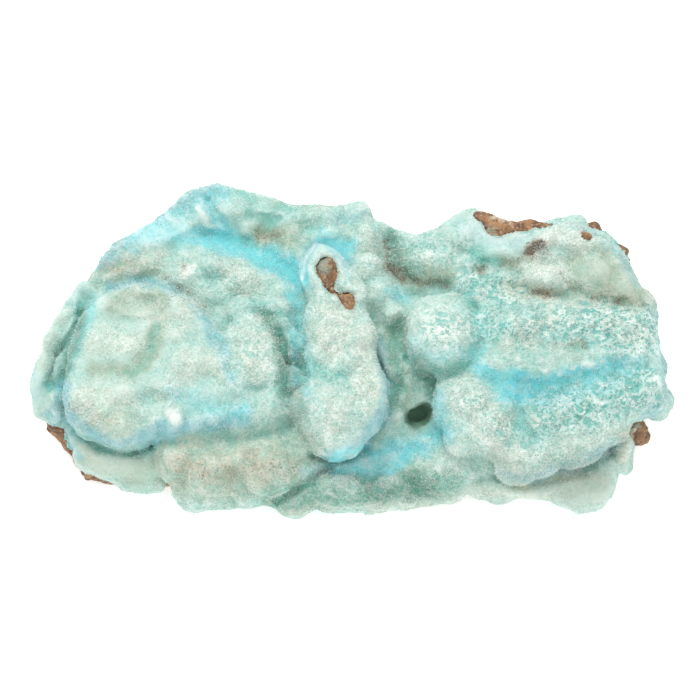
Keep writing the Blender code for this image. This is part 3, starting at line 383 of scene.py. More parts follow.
# name: strokes of (strength, half width, places along it), painted softly onto the crust
TINTS = {
    "sky": [
        (0.8, 2.3, [(-39, 21.6), (-33, 21.4), (-28, 21)]),
        (1.0, 2.2, [(-26.4, 20.6), (-22, 19.2), (-17, 17.5), (-12, 15.5), (-9.6, 13.2)]),
        (0.7, 1.6, [(-27, 27), (-25, 24), (-22, 21)]),
        (0.7, 1.5, [(-10.4, 10), (-10, 5), (-10.8, -1), (-10.6, -6)]),
        (0.8, 1.9, [(-5, 20.6), (-1, 19)]),
        (1.3, 2.4, [(-1, -21), (4, -21.4), (9, -19.4)]),
        (0.75, 2.2, [(9, -19.4), (14, -17), (17, -15.4)]),
        (1.0, 1.6, [(24, -4), (28, -5.6)]),
        (1.15, 2.8, [(29.4, -6.8), (34, -7.6), (39, -7), (45, -5.2), (49, -4.2)]),
        (0.9, 1.8, [(49, -4), (54, -3)]),
        (0.6, 1.5, [(7, 10.4), (10, 9.6)]),
        (0.4, 1.5, [(12, 10.6), (20, 11.2)]),
        (0.7, 1.6, [(15.4, -8), (16, -12), (16, -15)]),
        (0.5, 2.6, [(-33, -8), (-30, -9.6), (-26, -11), (-20, -11.6)]),
        (0.45, 1.4, [(-48, 9.4), (-48.6, 4), (-51, -1), (-53.6, -5), (-54, -9)]),
        (0.5, 3.0, [(-40, 19.6), (-32, 24.6), (-24, 28)]),
        (0.5, 1.6, [(22, -2), (25, 1), (24, 6)]),
        (0.5, 1.4, [(31, -9), (31.5, -14), (34, -16)]),
        (0.4, 2.4, [(50, 6), (56, 4), (57, -4)]),
        (0.4, 1.9, [(-22.6, 1), (-23, -3), (-20, -6.6)]),
        (0.5, 1.8, [(11.4, 1.5), (13, -1), (17, -2), (20, -0.6)]),
        (0.5, 1.4, [(-8.6, 2), (-8.4, -4), (-8, -9)]),
    ],
    "teal": [
        (0.6, 3.0, [(-20, 28), (-17, 24.6), (-13, 25), (-8, 24)]),
        (0.7, 2.2, [(-26, 14), (-22, 10), (-17, 8)]),
        (0.8, 1.7, [(-13.6, 6), (-12.4, 1), (-12, -4), (-13, -8)]),
        (0.6, 2.0, [(8, 21), (10.4, 18.4), (12, 15)]),
        (0.9, 2.6, [(24, 17.6), (27, 14), (23, 12), (22, 8)]),
        (1.2, 1.6, [(-50.2, 7), (-50.6, 2), (-52.6, -3), (-55, -7)]),
        (0.8, 4.0, [(25, 6), (32, 4), (40, 3), (49, 3)]),
        (0.7, 2.6, [(30, -12), (31, -17)]),
        (0.6, 2.6, [(38, -12), (34, -16), (29, -18)]),
        (0.5, 2.2, [(7, -26.4), (3, -27)]),
        (0.5, 2.4, [(2, 13), (1.6, 18), (4, 22)]),
        # painted shade: this teal ring along the boss's foot is the shade under the dome
        (0.9, 1.6, [(10.6, -1.6), (14, -4.4), (19, -4.4), (22.8, -1), (23.4, 3), (22.6, 7)]),
        (0.5, 1.3, [(12, -2), (14, -6), (13.6, -9)]),
        (0.5, 2.0, [(-34, -16), (-22, -16.4), (-13, -15)]),
        # partly painted shade: the teal band across the column's waist
        (1.0, 1.7, [(-8, -3.2), (-5, -4.6), (-2, -5)]),
        (0.6, 1.5, [(2.6, -4.4), (5, -5)]),
        (0.5, 2.2, [(-14, -9), (-18, 0), (-22, 5)]),
        (0.8, 3.4, [(42, -11), (50, -9), (56, -5)]),
    ],
    "cream": [
        (1.0, 3.4, [(-3, 5), (-3.2, 1.4)]),
        (0.6, 3.4, [(-3, -10), (-3, -14)]),
        (0.8, 2.6, [(2.4, 2), (3, -4), (3, -9)]),
        (0.8, 3.6, [(-18.6, 1), (-18, -3)]),
        (0.6, 4.2, [(15.6, 4.6), (17.6, 3.2)]),
        (0.9, 2.6, [(-21.6, 13.6), (-19, 12.6)]),
        (0.7, 2.0, [(-39.5, 18), (-36, 18.4)]),
        (0.8, 3.0, [(21, -8), (24, -13), (27, -18), (31, -21)]),
        (1.1, 2.4, [(34.4, 14), (38.6, 14)]),
        (0.8, 2.0, [(36.6, 20.6), (41, 20.6), (44.6, 18.6)]),
        (0.5, 2.4, [(34, -20.4), (42, -18), (48, -15.4)]),
        (0.7, 3.2, [(36, -26.6), (44, -26.6)]),
        (0.8, 2.6, [(48, 5.4), (54, 3)]),
        (0.6, 1.6, [(30, 4), (36, 5), (40, 6)]),
        (0.7, 2.6, [(-29.6, -2), (-25, -3)]),
        (0.8, 3.0, [(-48, -9), (-43, -8.6)]),
        (0.8, 3.0, [(-46.6, 1), (-40, 1)]),
        (0.6, 3.0, [(-40, 8), (-33, 4), (-31, 8)]),
        (0.6, 3.0, [(-34, -8), (-30, -4)]),
        (0.7, 1.4, [(-3, -24), (0, -24)]),
        (0.5, 2.6, [(-47, -20.4), (-41, -21.6)]),
        (0.6, 1.4, [(7, -23.4)]),
        (0.8, 1.2, [(4, -29.6), (14, -28.4), (24, -26.6), (30, -27.4), (36, -28)]),
        (0.5, 2.2, [(15, -21.4), (19, -21)]),
        (0.5, 3.0, [(1.4, 13.4), (3, 19)]),
        (0.6, 1.6, [(-31, 14.8)]),
        (0.55, 1.8, [(-53.6, 6.6), (-56, 2), (-57.4, -3)]),
    ],
    "sage": [
        (0.9, 2.8, [(-42, 8.4), (-36, 8.4)]),
        (0.9, 2.0, [(-35, 5), (-36.6, 1), (-38.4, -3)]),
        (0.7, 1.7, [(-38.4, -3.4), (-42, -4.8), (-47, -4)]),
        (1.2, 3.2, [(-45, 15.6), (-39, 15.2)]),
        (0.6, 1.6, [(-52.6, -11), (-50.6, -14.6), (-46, -17)]),
        (1.2, 5.0, [(-32, -21), (-26, -22.6), (-17, -22), (-11, -21)]),
        (0.8, 2.4, [(6, -26.6), (12, -26)]),
        (0.7, 3.4, [(-52, -17), (-46, -21), (-39, -22.6)]),
        (0.7, 3.4, [(-48, -11), (-42, -14)]),
        (1.1, 3.4, [(-12, -27.6), (-3, -26), (5, -24.6), (12, -26)]),
        (0.9, 2.0, [(8.4, 4), (8.6, -1), (8.8, -6), (9.6, -10)]),
        (0.8, 2.6, [(-17, 22), (-12, 21)]),
        (0.8, 2.6, [(9, 17), (13, 13.6), (18, 12.6)]),
        (1.2, 4.0, [(44, 15), (49, 13), (53, 9)]),
        (0.9, 3.0, [(28, 14.4), (33, 12.6), (42, 11)]),
        (0.5, 3.0, [(32, -26.6), (40, -25), (45, -26)]),
        (0.5, 3.0, [(28, -16), (35, -13), (42, -9)]),
        (0.5, 2.6, [(42, -1), (37, 1.6), (29, 1.6)]),
        (0.5, 2.6, [(-6, 26), (-14, 27)]),
        (0.6, 2.2, [(-10.6, -3), (-9, -9)]),
    ],
    "powder": [
        (0.9, 1.8, [(-53.2, -8), (-53.2, -12), (-51.5, -14.2), (-49, -16), (-46, -17.2), (-43, -18.2),
                    (-40.5, -18.4), (-38, -17.2), (-35, -15.4), (-31, -14.4), (-26, -14.4), (-20, -13)]),
        (0.4, 2.2, [(-50.6, 11.4), (-54, 7), (-56.4, 2), (-58, -3), (-58, -8)]),
        (1.0, 1.0, [(-9, 11.4), (-8.8, 15), (-7.4, 18.4), (-5.4, 19.6), (-3, 18.4), (-0.8, 16), (0, 13.4)]),
        (1.1, 1.4, [(5.2, 1), (5.2, -3), (6.7, -6), (7, -9), (6.2, -12), (4, -15), (2.6, -18), (0, -19.6),
                    (-4, -20)]),
        (0.5, 2.2, [(20.4, 23), (23.4, 22), (25, 20.6), (28, 19), (33, 20.6)]),
        (0.5, 1.4, [(36, 22.4), (41, 22.6), (46, 21), (50, 17.4), (53.4, 12.4)]),
        (0.7, 1.8, [(56.4, 6), (58.6, -2), (59, -9), (55, -12.6)]),
        (0.8, 1.4, [(28, -22.4), (33, -24.4), (38, -22.4), (44, -21), (49, -17.4)]),
        (0.3, 1.2, [(4, -30), (14, -28.6), (24, -26.6), (30, -27.4)]),
        (0.7, 2.4, [(-47, 16.4), (-41, 21.4), (-33, 26.4), (-25, 29.6)]),
        (0.7, 1.4, [(-30, 9), (-26.6, 5), (-24.6, 1), (-22.4, -4.6)]),
        (0.6, 1.2, [(-55.6, -12), (-54, -15.4), (-50.4, -19.6)]),
        (0.6, 1.6, [(-8, -23), (-5, -22)]),
        (0.5, 1.6, [(2, 25.4), (-4, 24.4)]),
        (0.7, 1.2, [(-45, 11.4), (-40, 12.4), (-35, 12), (-31, 9.6)]),
    ],
    "sand": [
        (0.7, 3.0, [(33, -26), (40, -24.4), (45, -25)]),
        (1.2, 2.0, [(28, 12.6), (32, 11.4), (36, 10.6)]),
        (0.6, 2.0, [(44, 9.6), (52, 8.4)]),
        (0.55, 4.0, [(-31, -20), (-25, -21), (-16, -21.6)]),
        (0.4, 2.6, [(-48, -11), (-45, -13)]),
        (1.1, 1.0, [(-31, 14.9)]),
        (0.4, 3.0, [(-45, 16), (-41, 15)]),
        (0.5, 2.0, [(-16, 22), (-10, 23)]),
        (0.7, 1.6, [(50.4, -16.6), (50.6, -20.4)]),
        (0.6, 2.4, [(43, 1.4), (38, 2), (28, 2)]),
        (0.5, 2.4, [(25, -12), (23, -15)]),
        (0.5, 2.2, [(11, 18), (15, 14)]),
        (0.5, 2.4, [(8.4, 2), (8.8, -6)]),
        (0.6, 2.4, [(-12, -26), (2, -26)]),
    ],
    # moss is the grey-green of the valleys; laid in gullies, grooves, under lips and on lower fronts, it
    # also darkens them as painted shade
    "moss": [
        (1.0, 1.6, [(8.2, 4), (8.4, -1), (8.8, -6), (8.4, -10)]),
        (1.0, 1.4, [(-15.6, 6), (-13, 2), (-12, -4), (-12.4, -8)]),
        (1.4, 2.2, [(18, -25), (8, -26), (0, -26.6), (-9, -26.6), (-14, -27.6)]),
        (0.8, 1.6, [(12.6, -1.6), (14.2, -5), (14.4, -8)]),
        (0.7, 1.2, [(-50.6, -15), (-46, -18.6), (-41, -19.8), (-37, -18.6)]),
        (0.6, 1.6, [(-12, -17), (-9, -19), (-7, -21)]),
        (0.65, 1.3, [(-35.6, 4), (-36.6, 0.6), (-38, -3), (-41, -4.8)]),
        (0.8, 1.2, [(-50.2, 6), (-50.8, 1), (-53.4, -5)]),
        (0.5, 1.6, [(-24, 9), (-18, 11)]),
        (0.7, 1.4, [(8, 20), (8, 16), (11, 13)]),
        (0.25, 1.2, [(27, 12), (36, 10.6), (46, 8.6), (54, 7.6)]),
        (0.7, 1.2, [(10.6, 11), (13.6, 10.6)]),
        (0.5, 2.0, [(-20, 20.6), (-13, 20)]),
        (0.6, 1.6, [(37, -21), (45, -21.6)]),
    ],
    "stain": [
        (0.8, 1.5, [(-17, 21.4), (-13.6, 20.6)]),
        (0.9, 0.8, [(6.6, 20), (6.9, 17)]),
        (1.25, 1.2, [(7.4, 15.2), (9.4, 13.2)]),
        (0.9, 0.8, [(10.6, 12.8), (14, 12), (18, 12)]),
        (1.15, 0.8, [(34.4, 10.8), (37, 10.2)]),
        (0.6, 1.5, [(44.6, 9.6), (49.6, 9.2), (54, 8.2)]),
        (0.3, 0.7, [(30, 12.2), (34, 11), (45, 9.4)]),
        (0.8, 0.5, [(38.8, 14), (40, 12.6), (41.6, 10.8)]),
        (1.7, 1.3, [(33.6, 18.4), (35.4, 18.9)]),
        (0.9, 2.0, [(33.6, 17.8), (35.6, 18)]),
        (1.0, 1.0, [(24, 14.5)]),
        (1.2, 0.9, [(49.8, 8.8)]),
        (0.6, 1.2, [(32, 17), (29, 15.6)]),
        (0.6, 0.9, [(-36, 14), (-33, 11.8), (-29, 9.4), (-25.6, 6.6)]),
        (0.5, 1.0, [(-44, 5.6), (-38, 5.4), (-33.4, 6.4)]),
        (0.5, 2.0, [(-46, 16), (-43, 14.4)]),
        (0.55, 4.0, [(-30, -21.6), (-22, -23)]),
        (0.6, 3.6, [(-18, -22), (-12, -22)]),
        (0.5, 0.9, [(33, -25.2), (38, -24.4), (43, -23.6)]),
        (0.3, 2.6, [(36, -26.4), (44, -26.4)]),
        (0.8, 0.9, [(43.6, 0.6), (41, 1.2)]),
        (0.55, 1.4, [(40, 1), (30, 1.8)]),
        (0.8, 0.6, [(-33, -6)]),
        (0.8, 0.7, [(-31, 15)]),
        (0.5, 1.6, [(-49, -10.6), (-47, -13)]),
        (0.4, 1.2, [(9, -5), (9.4, -7)]),
        (0.4, 2.0, [(16, 22), (20, 19)]),
        (0.5, 1.0, [(52, -14.6), (50, -18)]),
        (0.5, 2.0, [(26, -15), (32, -10)]),
    ],
    # painted shade: these strokes darken the tone where valleys, grooves and small holes lie in shade
    "dim": [
        (0.8, 2.3, [(31, -7), (34, -7.6), (39, -7)]),
        (0.45, 2.0, [(39, -7), (45, -5.2), (48, -4.6)]),
        (0.9, 1.3, [(-50.2, 7), (-50.6, 2), (-52.6, -3), (-54.6, -7)]),
        (1.0, 1.5, [(-17, 6.8), (-13.8, 4), (-11.8, 0), (-11.6, -6), (-10, -12)]),
        (0.9, 2.2, [(4, -26.6), (14, -26)]),
        (0.5, 2.2, [(-53, -10), (-51, -14), (-47, -17), (-42, -18.6)]),
        (0.5, 3.0, [(-45, 15.6), (-39, 15.2)]),
        (0.4, 1.6, [(30, -23), (36, -21.8), (42, -20)]),
        (0.3, 1.6, [(-54, 6), (-56, 2), (-57.4, -3)]),
        (0.6, 1.6, [(12, 10.8)]),
        (0.4, 2.4, [(-40, 8.4), (-36, 8.4)]),
        (1.3, 0.8, [(24.8, 16.4)]),
        (1.2, 0.6, [(20.4, 10.4)]),
        (1.2, 0.6, [(22.8, 9.2), (23.4, 8.4)]),
        (1.2, 0.5, [(24.2, 10.4)]),
        (1.2, 0.6, [(47.2, 3.4), (47.8, 2.2)]),
        (1.2, 0.5, [(49, 4.6)]),
        (1.1, 0.5, [(50.6, 3)]),
        (1.1, 0.5, [(45, 4.6)]),
        (1.0, 0.5, [(52.6, -6.6)]),
        (1.0, 0.5, [(34.4, 5.6)]),
    ],
    "lace": [
        (0.75, 5.0, [(25, 5), (33, 4), (42, 5)]),
        (1.1, 4.6, [(45, 5), (53, 3)]),
        (1.0, 4.4, [(54, -7), (46, -10), (37, -12)]),
        (0.6, 4.0, [(22, -9), (28, -15), (34, -19)]),
        (0.8, 3.4, [(22, 12.4), (30, 10.4)]),
        (0.7, 6.0, [(16.6, 3.4)]),
        (0.6, 3.0, [(21, 18), (13, 18)]),
        (0.25, 4.0, [(-3, 4), (-3, -10)]),
        (0.5, 3.6, [(-18.6, -1)]),
        (0.4, 3.0, [(-21, 13)]),
        (0.4, 3.0, [(4, -26), (-8, -25)]),
    ],
    "ice": [
        (0.8, 0.7, [(41, -3.6)]),
        (0.9, 0.8, [(43.2, -2.8), (44.2, -3)]),
        (0.7, 0.6, [(46.2, -2.4)]),
        (0.7, 0.8, [(38.8, -4.8)]),
        (0.7, 0.7, [(35.4, -3.8)]),
        (0.6, 0.6, [(31, -1.8)]),
        (0.6, 0.7, [(41.4, -7)]),
        (0.9, 1.2, [(-32.8, -12.4), (-32.2, -13)]),
        (0.55, 5.0, [(16.2, 4.4), (17.0, 4.0)]),
        (0.45, 2.4, [(34.8, 14), (38.4, 14)]),
        (0.35, 1.6, [(40, 20.6), (43, 20.2)]),
        (0.4, 3.0, [(-39, 21), (-34, 22), (-30, 22.6)]),
        # painted light: a thin white wash that lightens the shadowed valley below the column
        (0.4, 2.0, [(0, -21), (8, -20.4)]),
        (0.45, 2.6, [(22, 22.6), (26, 20), (33, 20.4), (38, 21)]),
        (0.4, 3.4, [(46, 5), (53, 3), (56, -5)]),
        (1.0, 0.6, [(-29.5, 15.6), (-29.6, 14.2), (-30.8, 13.4)]),
        (0.8, 0.8, [(-28.7, 26.2), (-26.2, 22.9)]),
        (0.5, 1.0, [(-34.6, 24.6), (-32, 23.2)]),
        (0.6, 0.5, [(-9.2, 13), (-8.6, 16.6), (-6.6, 19)]),
    ],
    "smooth": [
        (1.0, 3.4, [(-53, -16), (-47, -21), (-39, -23)]),
        (0.9, 2.6, [(-51, 11), (-55, 5), (-58, -4), (-58, -9)]),
        (0.8, 1.6, [(-52, -13), (-48, -16.4), (-42, -18.4), (-37, -17), (-30, -14.6)]),
        (0.9, 1.6, [(-9, 12), (-8, 18), (-4, 19), (-0.6, 16)]),
        (0.9, 1.2, [(5, 0), (7, -7), (6, -12), (3, -17.4), (-2, -20)]),
        (0.7, 3.0, [(21, 23), (28, 18.4)]),
        (0.8, 4.0, [(31, -27), (40, -26), (46, -26)]),
        (0.35, 2.4, [(30, -6.8), (36, -7.4), (46, -5)]),
        (0.7, 6.0, [(16.6, 3.4)]),
        (0.7, 3.6, [(46, 15), (52, 10)]),
        (0.75, 4.6, [(-46, 6), (-38, 6), (-35, -1), (-44, -7), (-47, -2)]),
        (0.6, 3.2, [(-38, 21), (-26, 21), (-14, 24)]),
        (0.45, 3.0, [(-30, 8), (-28, 1), (-27, -8)]),
        (0.6, 1.6, [(4, -30), (24, -27)]),
        (0.5, 2.4, [(-24, 19), (-12, 15)]),
    ],
}

FRINGE = [(27, -20), (27.6, -22.6), (29.4, -24.4), (32, -24.8), (35, -23.8), (38, -22.9), (41, -22.1),
          (44, -21.3), (46, -20.3), (48, -19.3), (50, -17)]

# the same for the bare rock
ROCK_TINTS = {
    "film": [(1.0, 1.2, [(-5.6, 17), (-5.2, 14.8)]), (0.8, 0.8, [(53, -14.6), (51, -16)]),
             (0.6, 1.0, [(25, 22.4), (27, 21.6)])],
    "pale": [(0.7, 0.6, [(26, 25.2), (30, 23.6)]), (0.8, 1.0, [(52, -15.4), (51, -20)]),
             (0.6, 0.5, [(-3.4, 11)])],
}


def linear(code):
    """The linear colour of a code such as #B4DDD6."""
    shares = [int(code[i:i + 2], 16) / 255 for i in (1, 3, 5)]
    return tuple(s / 12.92 if s <= 0.04045 else ((s + 0.055) / 1.055) ** 2.4 for s in shares)


def tint_property(name, description, code):
    return FloatVectorProperty(
        name=name, description=description, default=linear(code), subtype="COLOR", min=0, max=1,
    )


def place(across, up, height):
    """The point that is seen at (across, up) and is this high, in millimetres."""
    back = (up - (height - VIEW_HEIGHT) * math.cos(VIEW_TILT)) / math.sin(VIEW_TILT)
    return Vector((across, back, height))


def seen(points):
    """Where points are seen, as rows of (across, up)."""
    up = points[:, 1] * math.sin(VIEW_TILT) + (points[:, 2] - VIEW_HEIGHT) * math.cos(VIEW_TILT)
    return np.stack([points[:, 0], up], axis=1)


def rounded(outline, steps=5):
    """A closed Catmull-Rom curve through the outline's points."""
    points = [Vector(p) for p in outline]
    curve = []
    for i in range(len(points)):
        a, b, c, d = (points[(i + k) % len(points)] for k in (-1, 0, 1, 2))
        for s in range(steps):
            t = s / steps
            curve.append(
                0.5 * (2 * b + (c - a) * t + (2 * a - 5 * b + 4 * c - d) * t**2
                       + (3 * b - a - 3 * c + d) * t**3)
            )
    return curve


def add_pad(bm, top, thickness, rim, crown, outline):
    """A cushion-shaped slab with this outline, a round rim and a slightly domed top."""
    middle = top - rim
    edge = [place(p.x, p.y, middle).xy for p in rounded(outline)]
    centre = sum(edge, Vector((0, 0))) / len(edge)
    count = len(edge)
    turning = sum(edge[i].cross(edge[(i + 1) % count]) for i in range(count))
    side = 1 if turning > 0 else -1
    inward = []
    for i in range(count):
        along = (edge[(i + 1) % count] - edge[i - 1]).normalized()
        inward.append(Vector((-along.y, along.x)) * side)
    profile = []
    for step in range(7):
        angle = math.radians(-90 + 30 * step)
        level = middle if angle > 0 else top - thickness + rim
        if step == 3:
            profile.append((0.0, top - thickness + rim))
            profile.append((0.0, middle))
        else:
            profile.append((rim * (1 - math.cos(angle)), level + rim * math.sin(angle)))
    rings = []
    for inset, height in profile:
        rings.append([bm.verts.new((*(p + n * inset), height)) for p, n in zip(edge, inward)])
    top_ring = rings[-1]
    for share in (0.75, 0.5, 0.25):
        height = top + crown * (1 - share**2)
        rings.append([bm.verts.new((*centre.lerp(v.co.xy, share), height)) for v in top_ring])
    for low, high in zip(rings, rings[1:]):
        for i in range(count):
            j = (i + 1) % count
            corners = [low[i], low[j], high[j], high[i]]
            bm.faces.new(corners if side > 0 else corners[::-1])
    bm.faces.new(rings[0][::-side])
    bm.faces.new(rings[-1][::side])


def add_knob(bm, across, up, top, wide, deep, tall, turn=0.0):
    """An ellipsoid whose outline, as seen, is wide by deep and whose top is this high."""
    tall = min(tall, (top - LOWEST_KNOB) / 2)
    centre = place(across, up, top - tall)
    stretch = Matrix.Diagonal((1, 1 / math.sin(VIEW_TILT), 1, 1))
    shape = Matrix.Rotation(math.radians(turn), 4, "Z") @ Matrix.Diagonal((wide, deep, tall, 1))
    # The centre is placed so that the top, and not the middle, is seen at (across, up).
    shift = Vector((0, -tall * math.cos(VIEW_TILT) / math.sin(VIEW_TILT), 0))
    bmesh.ops.create_icosphere(
        bm, subdivisions=3, radius=1.0, matrix=Matrix.Translation(centre + shift) @ stretch @ shape
    )


def add_bore(bm, across, up, mouth, wide, deep, depth, turn):
    """An ellipsoid along the line of sight, for an opening that is seen wide by deep."""
    aim = Matrix.Rotation(math.pi / 2 - VIEW_TILT, 4, "X")
    shape = Matrix.Rotation(math.radians(turn), 4, "Z") @ Matrix.Diagonal((wide, deep, depth, 1))
    spot = Matrix.Translation(place(across, up, mouth))
    bmesh.ops.create_icosphere(bm, subdivisions=3, radius=1.0, matrix=spot @ aim @ shape)


def object_from(bm, name):
    mesh = bpy.data.meshes.new(name)
    bmesh.ops.recalc_face_normals(bm, faces=bm.faces)
    bm.to_mesh(mesh)
    bm.free()
    made = bpy.data.objects.new(name, mesh)
    bpy.context.scene.collection.objects.link(made)
    return made


def bake_modifiers(target):
    """Replaces the object's mesh with what its modifiers make of it."""
    graph = bpy.context.evaluated_depsgraph_get()
    graph.update()
    mesh = bpy.data.meshes.new_from_object(target.evaluated_get(graph))
    target.modifiers.clear()
    old = target.data
    target.data = mesh
    bpy.data.meshes.remove(old)


def remesh(target, voxel):
    modifier = target.modifiers.new("skin", "REMESH")
    modifier.mode = "VOXEL"
    modifier.voxel_size = voxel
    bake_modifiers(target)


def points_of(mesh):
    points = np.empty(len(mesh.vertices) * 3, np.float32)
    mesh.vertices.foreach_get("co", points)
    return points.reshape(-1, 3).astype(float)


def normals_of(mesh):
    normals = np.empty(len(mesh.vertices) * 3, np.float32)
    mesh.vertices.foreach_get("normal", normals)
    return normals.reshape(-1, 3).astype(float)


def set_points(mesh, points):
    mesh.vertices.foreach_set("co", points.astype(np.float32).ravel())
    mesh.update()


def smooth(target, rounds, share=0.5):
    """Moves each vertex towards the mean of its neighbours."""
    mesh = target.data
    edges = np.empty(len(mesh.edges) * 2, np.int32)
    mesh.edges.foreach_get("vertices", edges)
    a, b = edges.reshape(-1, 2).T
    points = points_of(mesh)
    count = np.bincount(a, minlength=len(points)) + np.bincount(b, minlength=len(points))
    for _ in range(rounds):
        total = np.empty_like(points)
        for k in range(3):
            total[:, k] = np.bincount(a, points[b, k], len(points))
            total[:, k] += np.bincount(b, points[a, k], len(points))
        points += share * (total / count[:, None] - points)
    set_points(mesh, points)


def warp(target, size, amount):
    """Bends the whole shape by a smooth noise, so that no lump stays a true ellipsoid."""
    mesh = target.data
    points = points_of(mesh)
    shift = np.empty_like(points)
    for i, place_now in enumerate(points / size):
        for k, offset in enumerate(WARP_OFFSETS):
            shift[i, k] = noise.noise(Vector(place_now) + Vector(offset))
    set_points(mesh, points + amount * shift)


def distance_to_path(places, path):
    """How far each seen place is from the line through the path's points, or from its only point."""
    best = np.full(len(places), np.inf)
    for start, end in zip(path, path[1:] or path):
        a, b = np.array(start, float), np.array(end, float)
        along = np.clip((places - a) @ (b - a) / max((b - a) @ (b - a), 1e-9), 0, 1)
        best = np.minimum(best, np.linalg.norm(places - a - along[:, None] * (b - a), axis=1))
    return best


def carve_creases(target):
    """Sinks the creases between lobes into the faces that look up at the view."""
    mesh = target.data
    points, normals = points_of(mesh), normals_of(mesh)
    towards = np.array((0, -math.cos(VIEW_TILT), math.sin(VIEW_TILT)))
    facing = np.clip((normals @ towards - 0.1) / 0.5, 0, 1)
    places = seen(points)
    depth = np.zeros(len(points))
    for sink, width, path in CREASES.values():
        depth = np.maximum(depth, sink * np.exp(-((distance_to_path(places, path) / width) ** 2)))
    for sink, across, up, wide, deep in DISHES.values():
        away = ((places - (across, up)) / (wide, deep)) ** 2
        depth += sink * np.exp(-away.sum(axis=1))
    set_points(mesh, points - towards * (depth * facing)[:, None])


def grow_nodules(target, spacing, height, seed):
    """Covers the surface with small domes that meet in sharp valleys, as grape-like crusts have."""
    mesh = target.data
    points, normals = points_of(mesh), normals_of(mesh)
    random = np.random.default_rng(seed)
    low, high = points.min(0), points.max(0)
    count = int(np.prod((high - low) / spacing + 1))
    seeds = low + random.random((count, 3)) * (high - low)
    tree = KDTree(count)
    for i, seed_point in enumerate(seeds):
        tree.insert(seed_point, i)
    tree.balance()
    nearest = np.array([tree.find(p)[2] for p in points])
    dome = 1 - np.clip(nearest / spacing, 0, 1) ** 2
    set_points(mesh, points + normals * (height * (dome - 0.5))[:, None])


def thin_out(target, triangles):
    mesh = target.data
    modifier = target.modifiers.new("thin", "DECIMATE")
    mesh.calc_loop_triangles()
    modifier.ratio = triangles / len(mesh.loop_triangles)
    bake_modifiers(target)


def cut(target, tool, name):
    modifier = target.modifiers.new(name, "BOOLEAN")
    modifier.operation = "DIFFERENCE"
    modifier.solver = "EXACT"
    modifier.object = tool
    bake_modifiers(target)


def keep_largest_island(target):
    bm = bmesh.new()
    bm.from_mesh(target.data)
    left = set(bm.verts)
    islands = []
    while left:
        stack, island = [left.pop()], []
        while stack:
            vertex = stack.pop()
            island.append(vertex)
            for edge in vertex.link_edges:
                other = edge.other_vert(vertex)
                if other in left:
                    left.remove(other)
                    stack.append(other)
        islands.append(island)
    islands.sort(key=len)
    for island in islands[:-1]:
        bmesh.ops.delete(bm, geom=island, context="VERTS")
    bm.to_mesh(target.data)
    bm.free()


def crust_form(voxel):
    """The crust before it is seated on the rock, with every lobe, knob, crease and pit."""
    bm = bmesh.new()
    for pad in PADS.values():
        add_pad(bm, *pad)
    for knobs in KNOBS.values():
        for knob in knobs:
            add_knob(bm, *knob)
    crust = object_from(bm, "aragonite_crust")
    remesh(crust, voxel)
    smooth(crust, 3)
    warp(crust, 7.0, 0.9)
    bm = bmesh.new()
    for pit in PITS.values():
        add_bore(bm, *pit)
    pits = object_from(bm, "pits")
    remesh(pits, PIT_VOXEL)
    warp(pits, 1.9, 0.6)
    cut(crust, pits, "pits")
    bpy.data.objects.remove(pits)
    remesh(crust, voxel)
    smooth(crust, 2)
    carve_creases(crust)
    grow_nodules(crust, 4.5, 0.9, SEED)
    smooth(crust, 1)
    return crust


def rock_form(voxel):
    bm = bmesh.new()
    for pad in ROCK_PADS.values():
        add_pad(bm, *pad)
    for knob in ROCK_KNOBS:
        add_knob(bm, *knob)
    rock = object_from(bm, "matrix_rock")
    remesh(rock, voxel)
    smooth(rock, 2)
    warp(rock, 3.2, 0.7)
    smooth(rock, 1)
    return rock


def above_floor(target, floor):
    """Cuts the shape off flat at this height."""
    bm = bmesh.new()
    bm.from_mesh(target.data)
    everything = bm.verts[:] + bm.edges[:] + bm.faces[:]
    cut_line = bmesh.ops.bisect_plane(
        bm, geom=everything, plane_co=(0, 0, floor), plane_no=(0, 0, 1), clear_inner=True
    )["geom_cut"]
    rim = [e for e in cut_line if isinstance(e, bmesh.types.BMEdge)]
    bmesh.ops.edgenet_fill(bm, edges=rim)
    bm.normal_update()
    bm.to_mesh(target.data)
    bm.free()


def grown(source, amount):
    """A copy of the shape whose skin stands this much further out."""
    made = source.copy()
    made.data = source.data.copy()
    bpy.context.scene.collection.objects.link(made)
    set_points(made.data, points_of(made.data) + amount * normals_of(made.data))
    return made


def settle(target, shift):
    """Moves the finished shape to its place and turns millimetres into metres."""
    set_points(target.data, (points_of(target.data) + shift) * MM)


def stroke_cover(places, strokes):
    """How strongly the soft strokes cover each seen place, from 0 to 1."""
    cover = np.zeros(len(places))
    for strength, half_width, path in strokes:
        away = distance_to_path(places, path) / half_width
        cover = np.maximum(cover, strength * 0.5 ** (away**2))
    return cover


def noise_at(points, size, offset):
    """A smooth noise from -1 to 1 whose hills are about this wide."""
    shift = Vector(offset)
    return np.array([noise.noise(Vector(p) + shift) for p in points / size])


def store(mesh, name, values):
    attribute = mesh.attributes.get(name) or mesh.attributes.new(name, "FLOAT", "POINT")
    attribute.data.foreach_set("value", values.astype(np.float32))


def stored(mesh, name):
    values = np.empty(len(mesh.vertices), np.float32)
    mesh.attributes[name].data.foreach_get("value", values)
    return values.astype(float)


def swelling(target, rounds, reach):
    """From -1 in hollows to 1 on crowns that are about as wide as the smoothing reaches."""
    mesh = target.data
    before, normals = points_of(mesh), normals_of(mesh)
    smooth(target, rounds)
    after = points_of(mesh)
    set_points(mesh, before)
    return np.clip(((before - after) * normals).sum(axis=1) / reach, -1, 1)


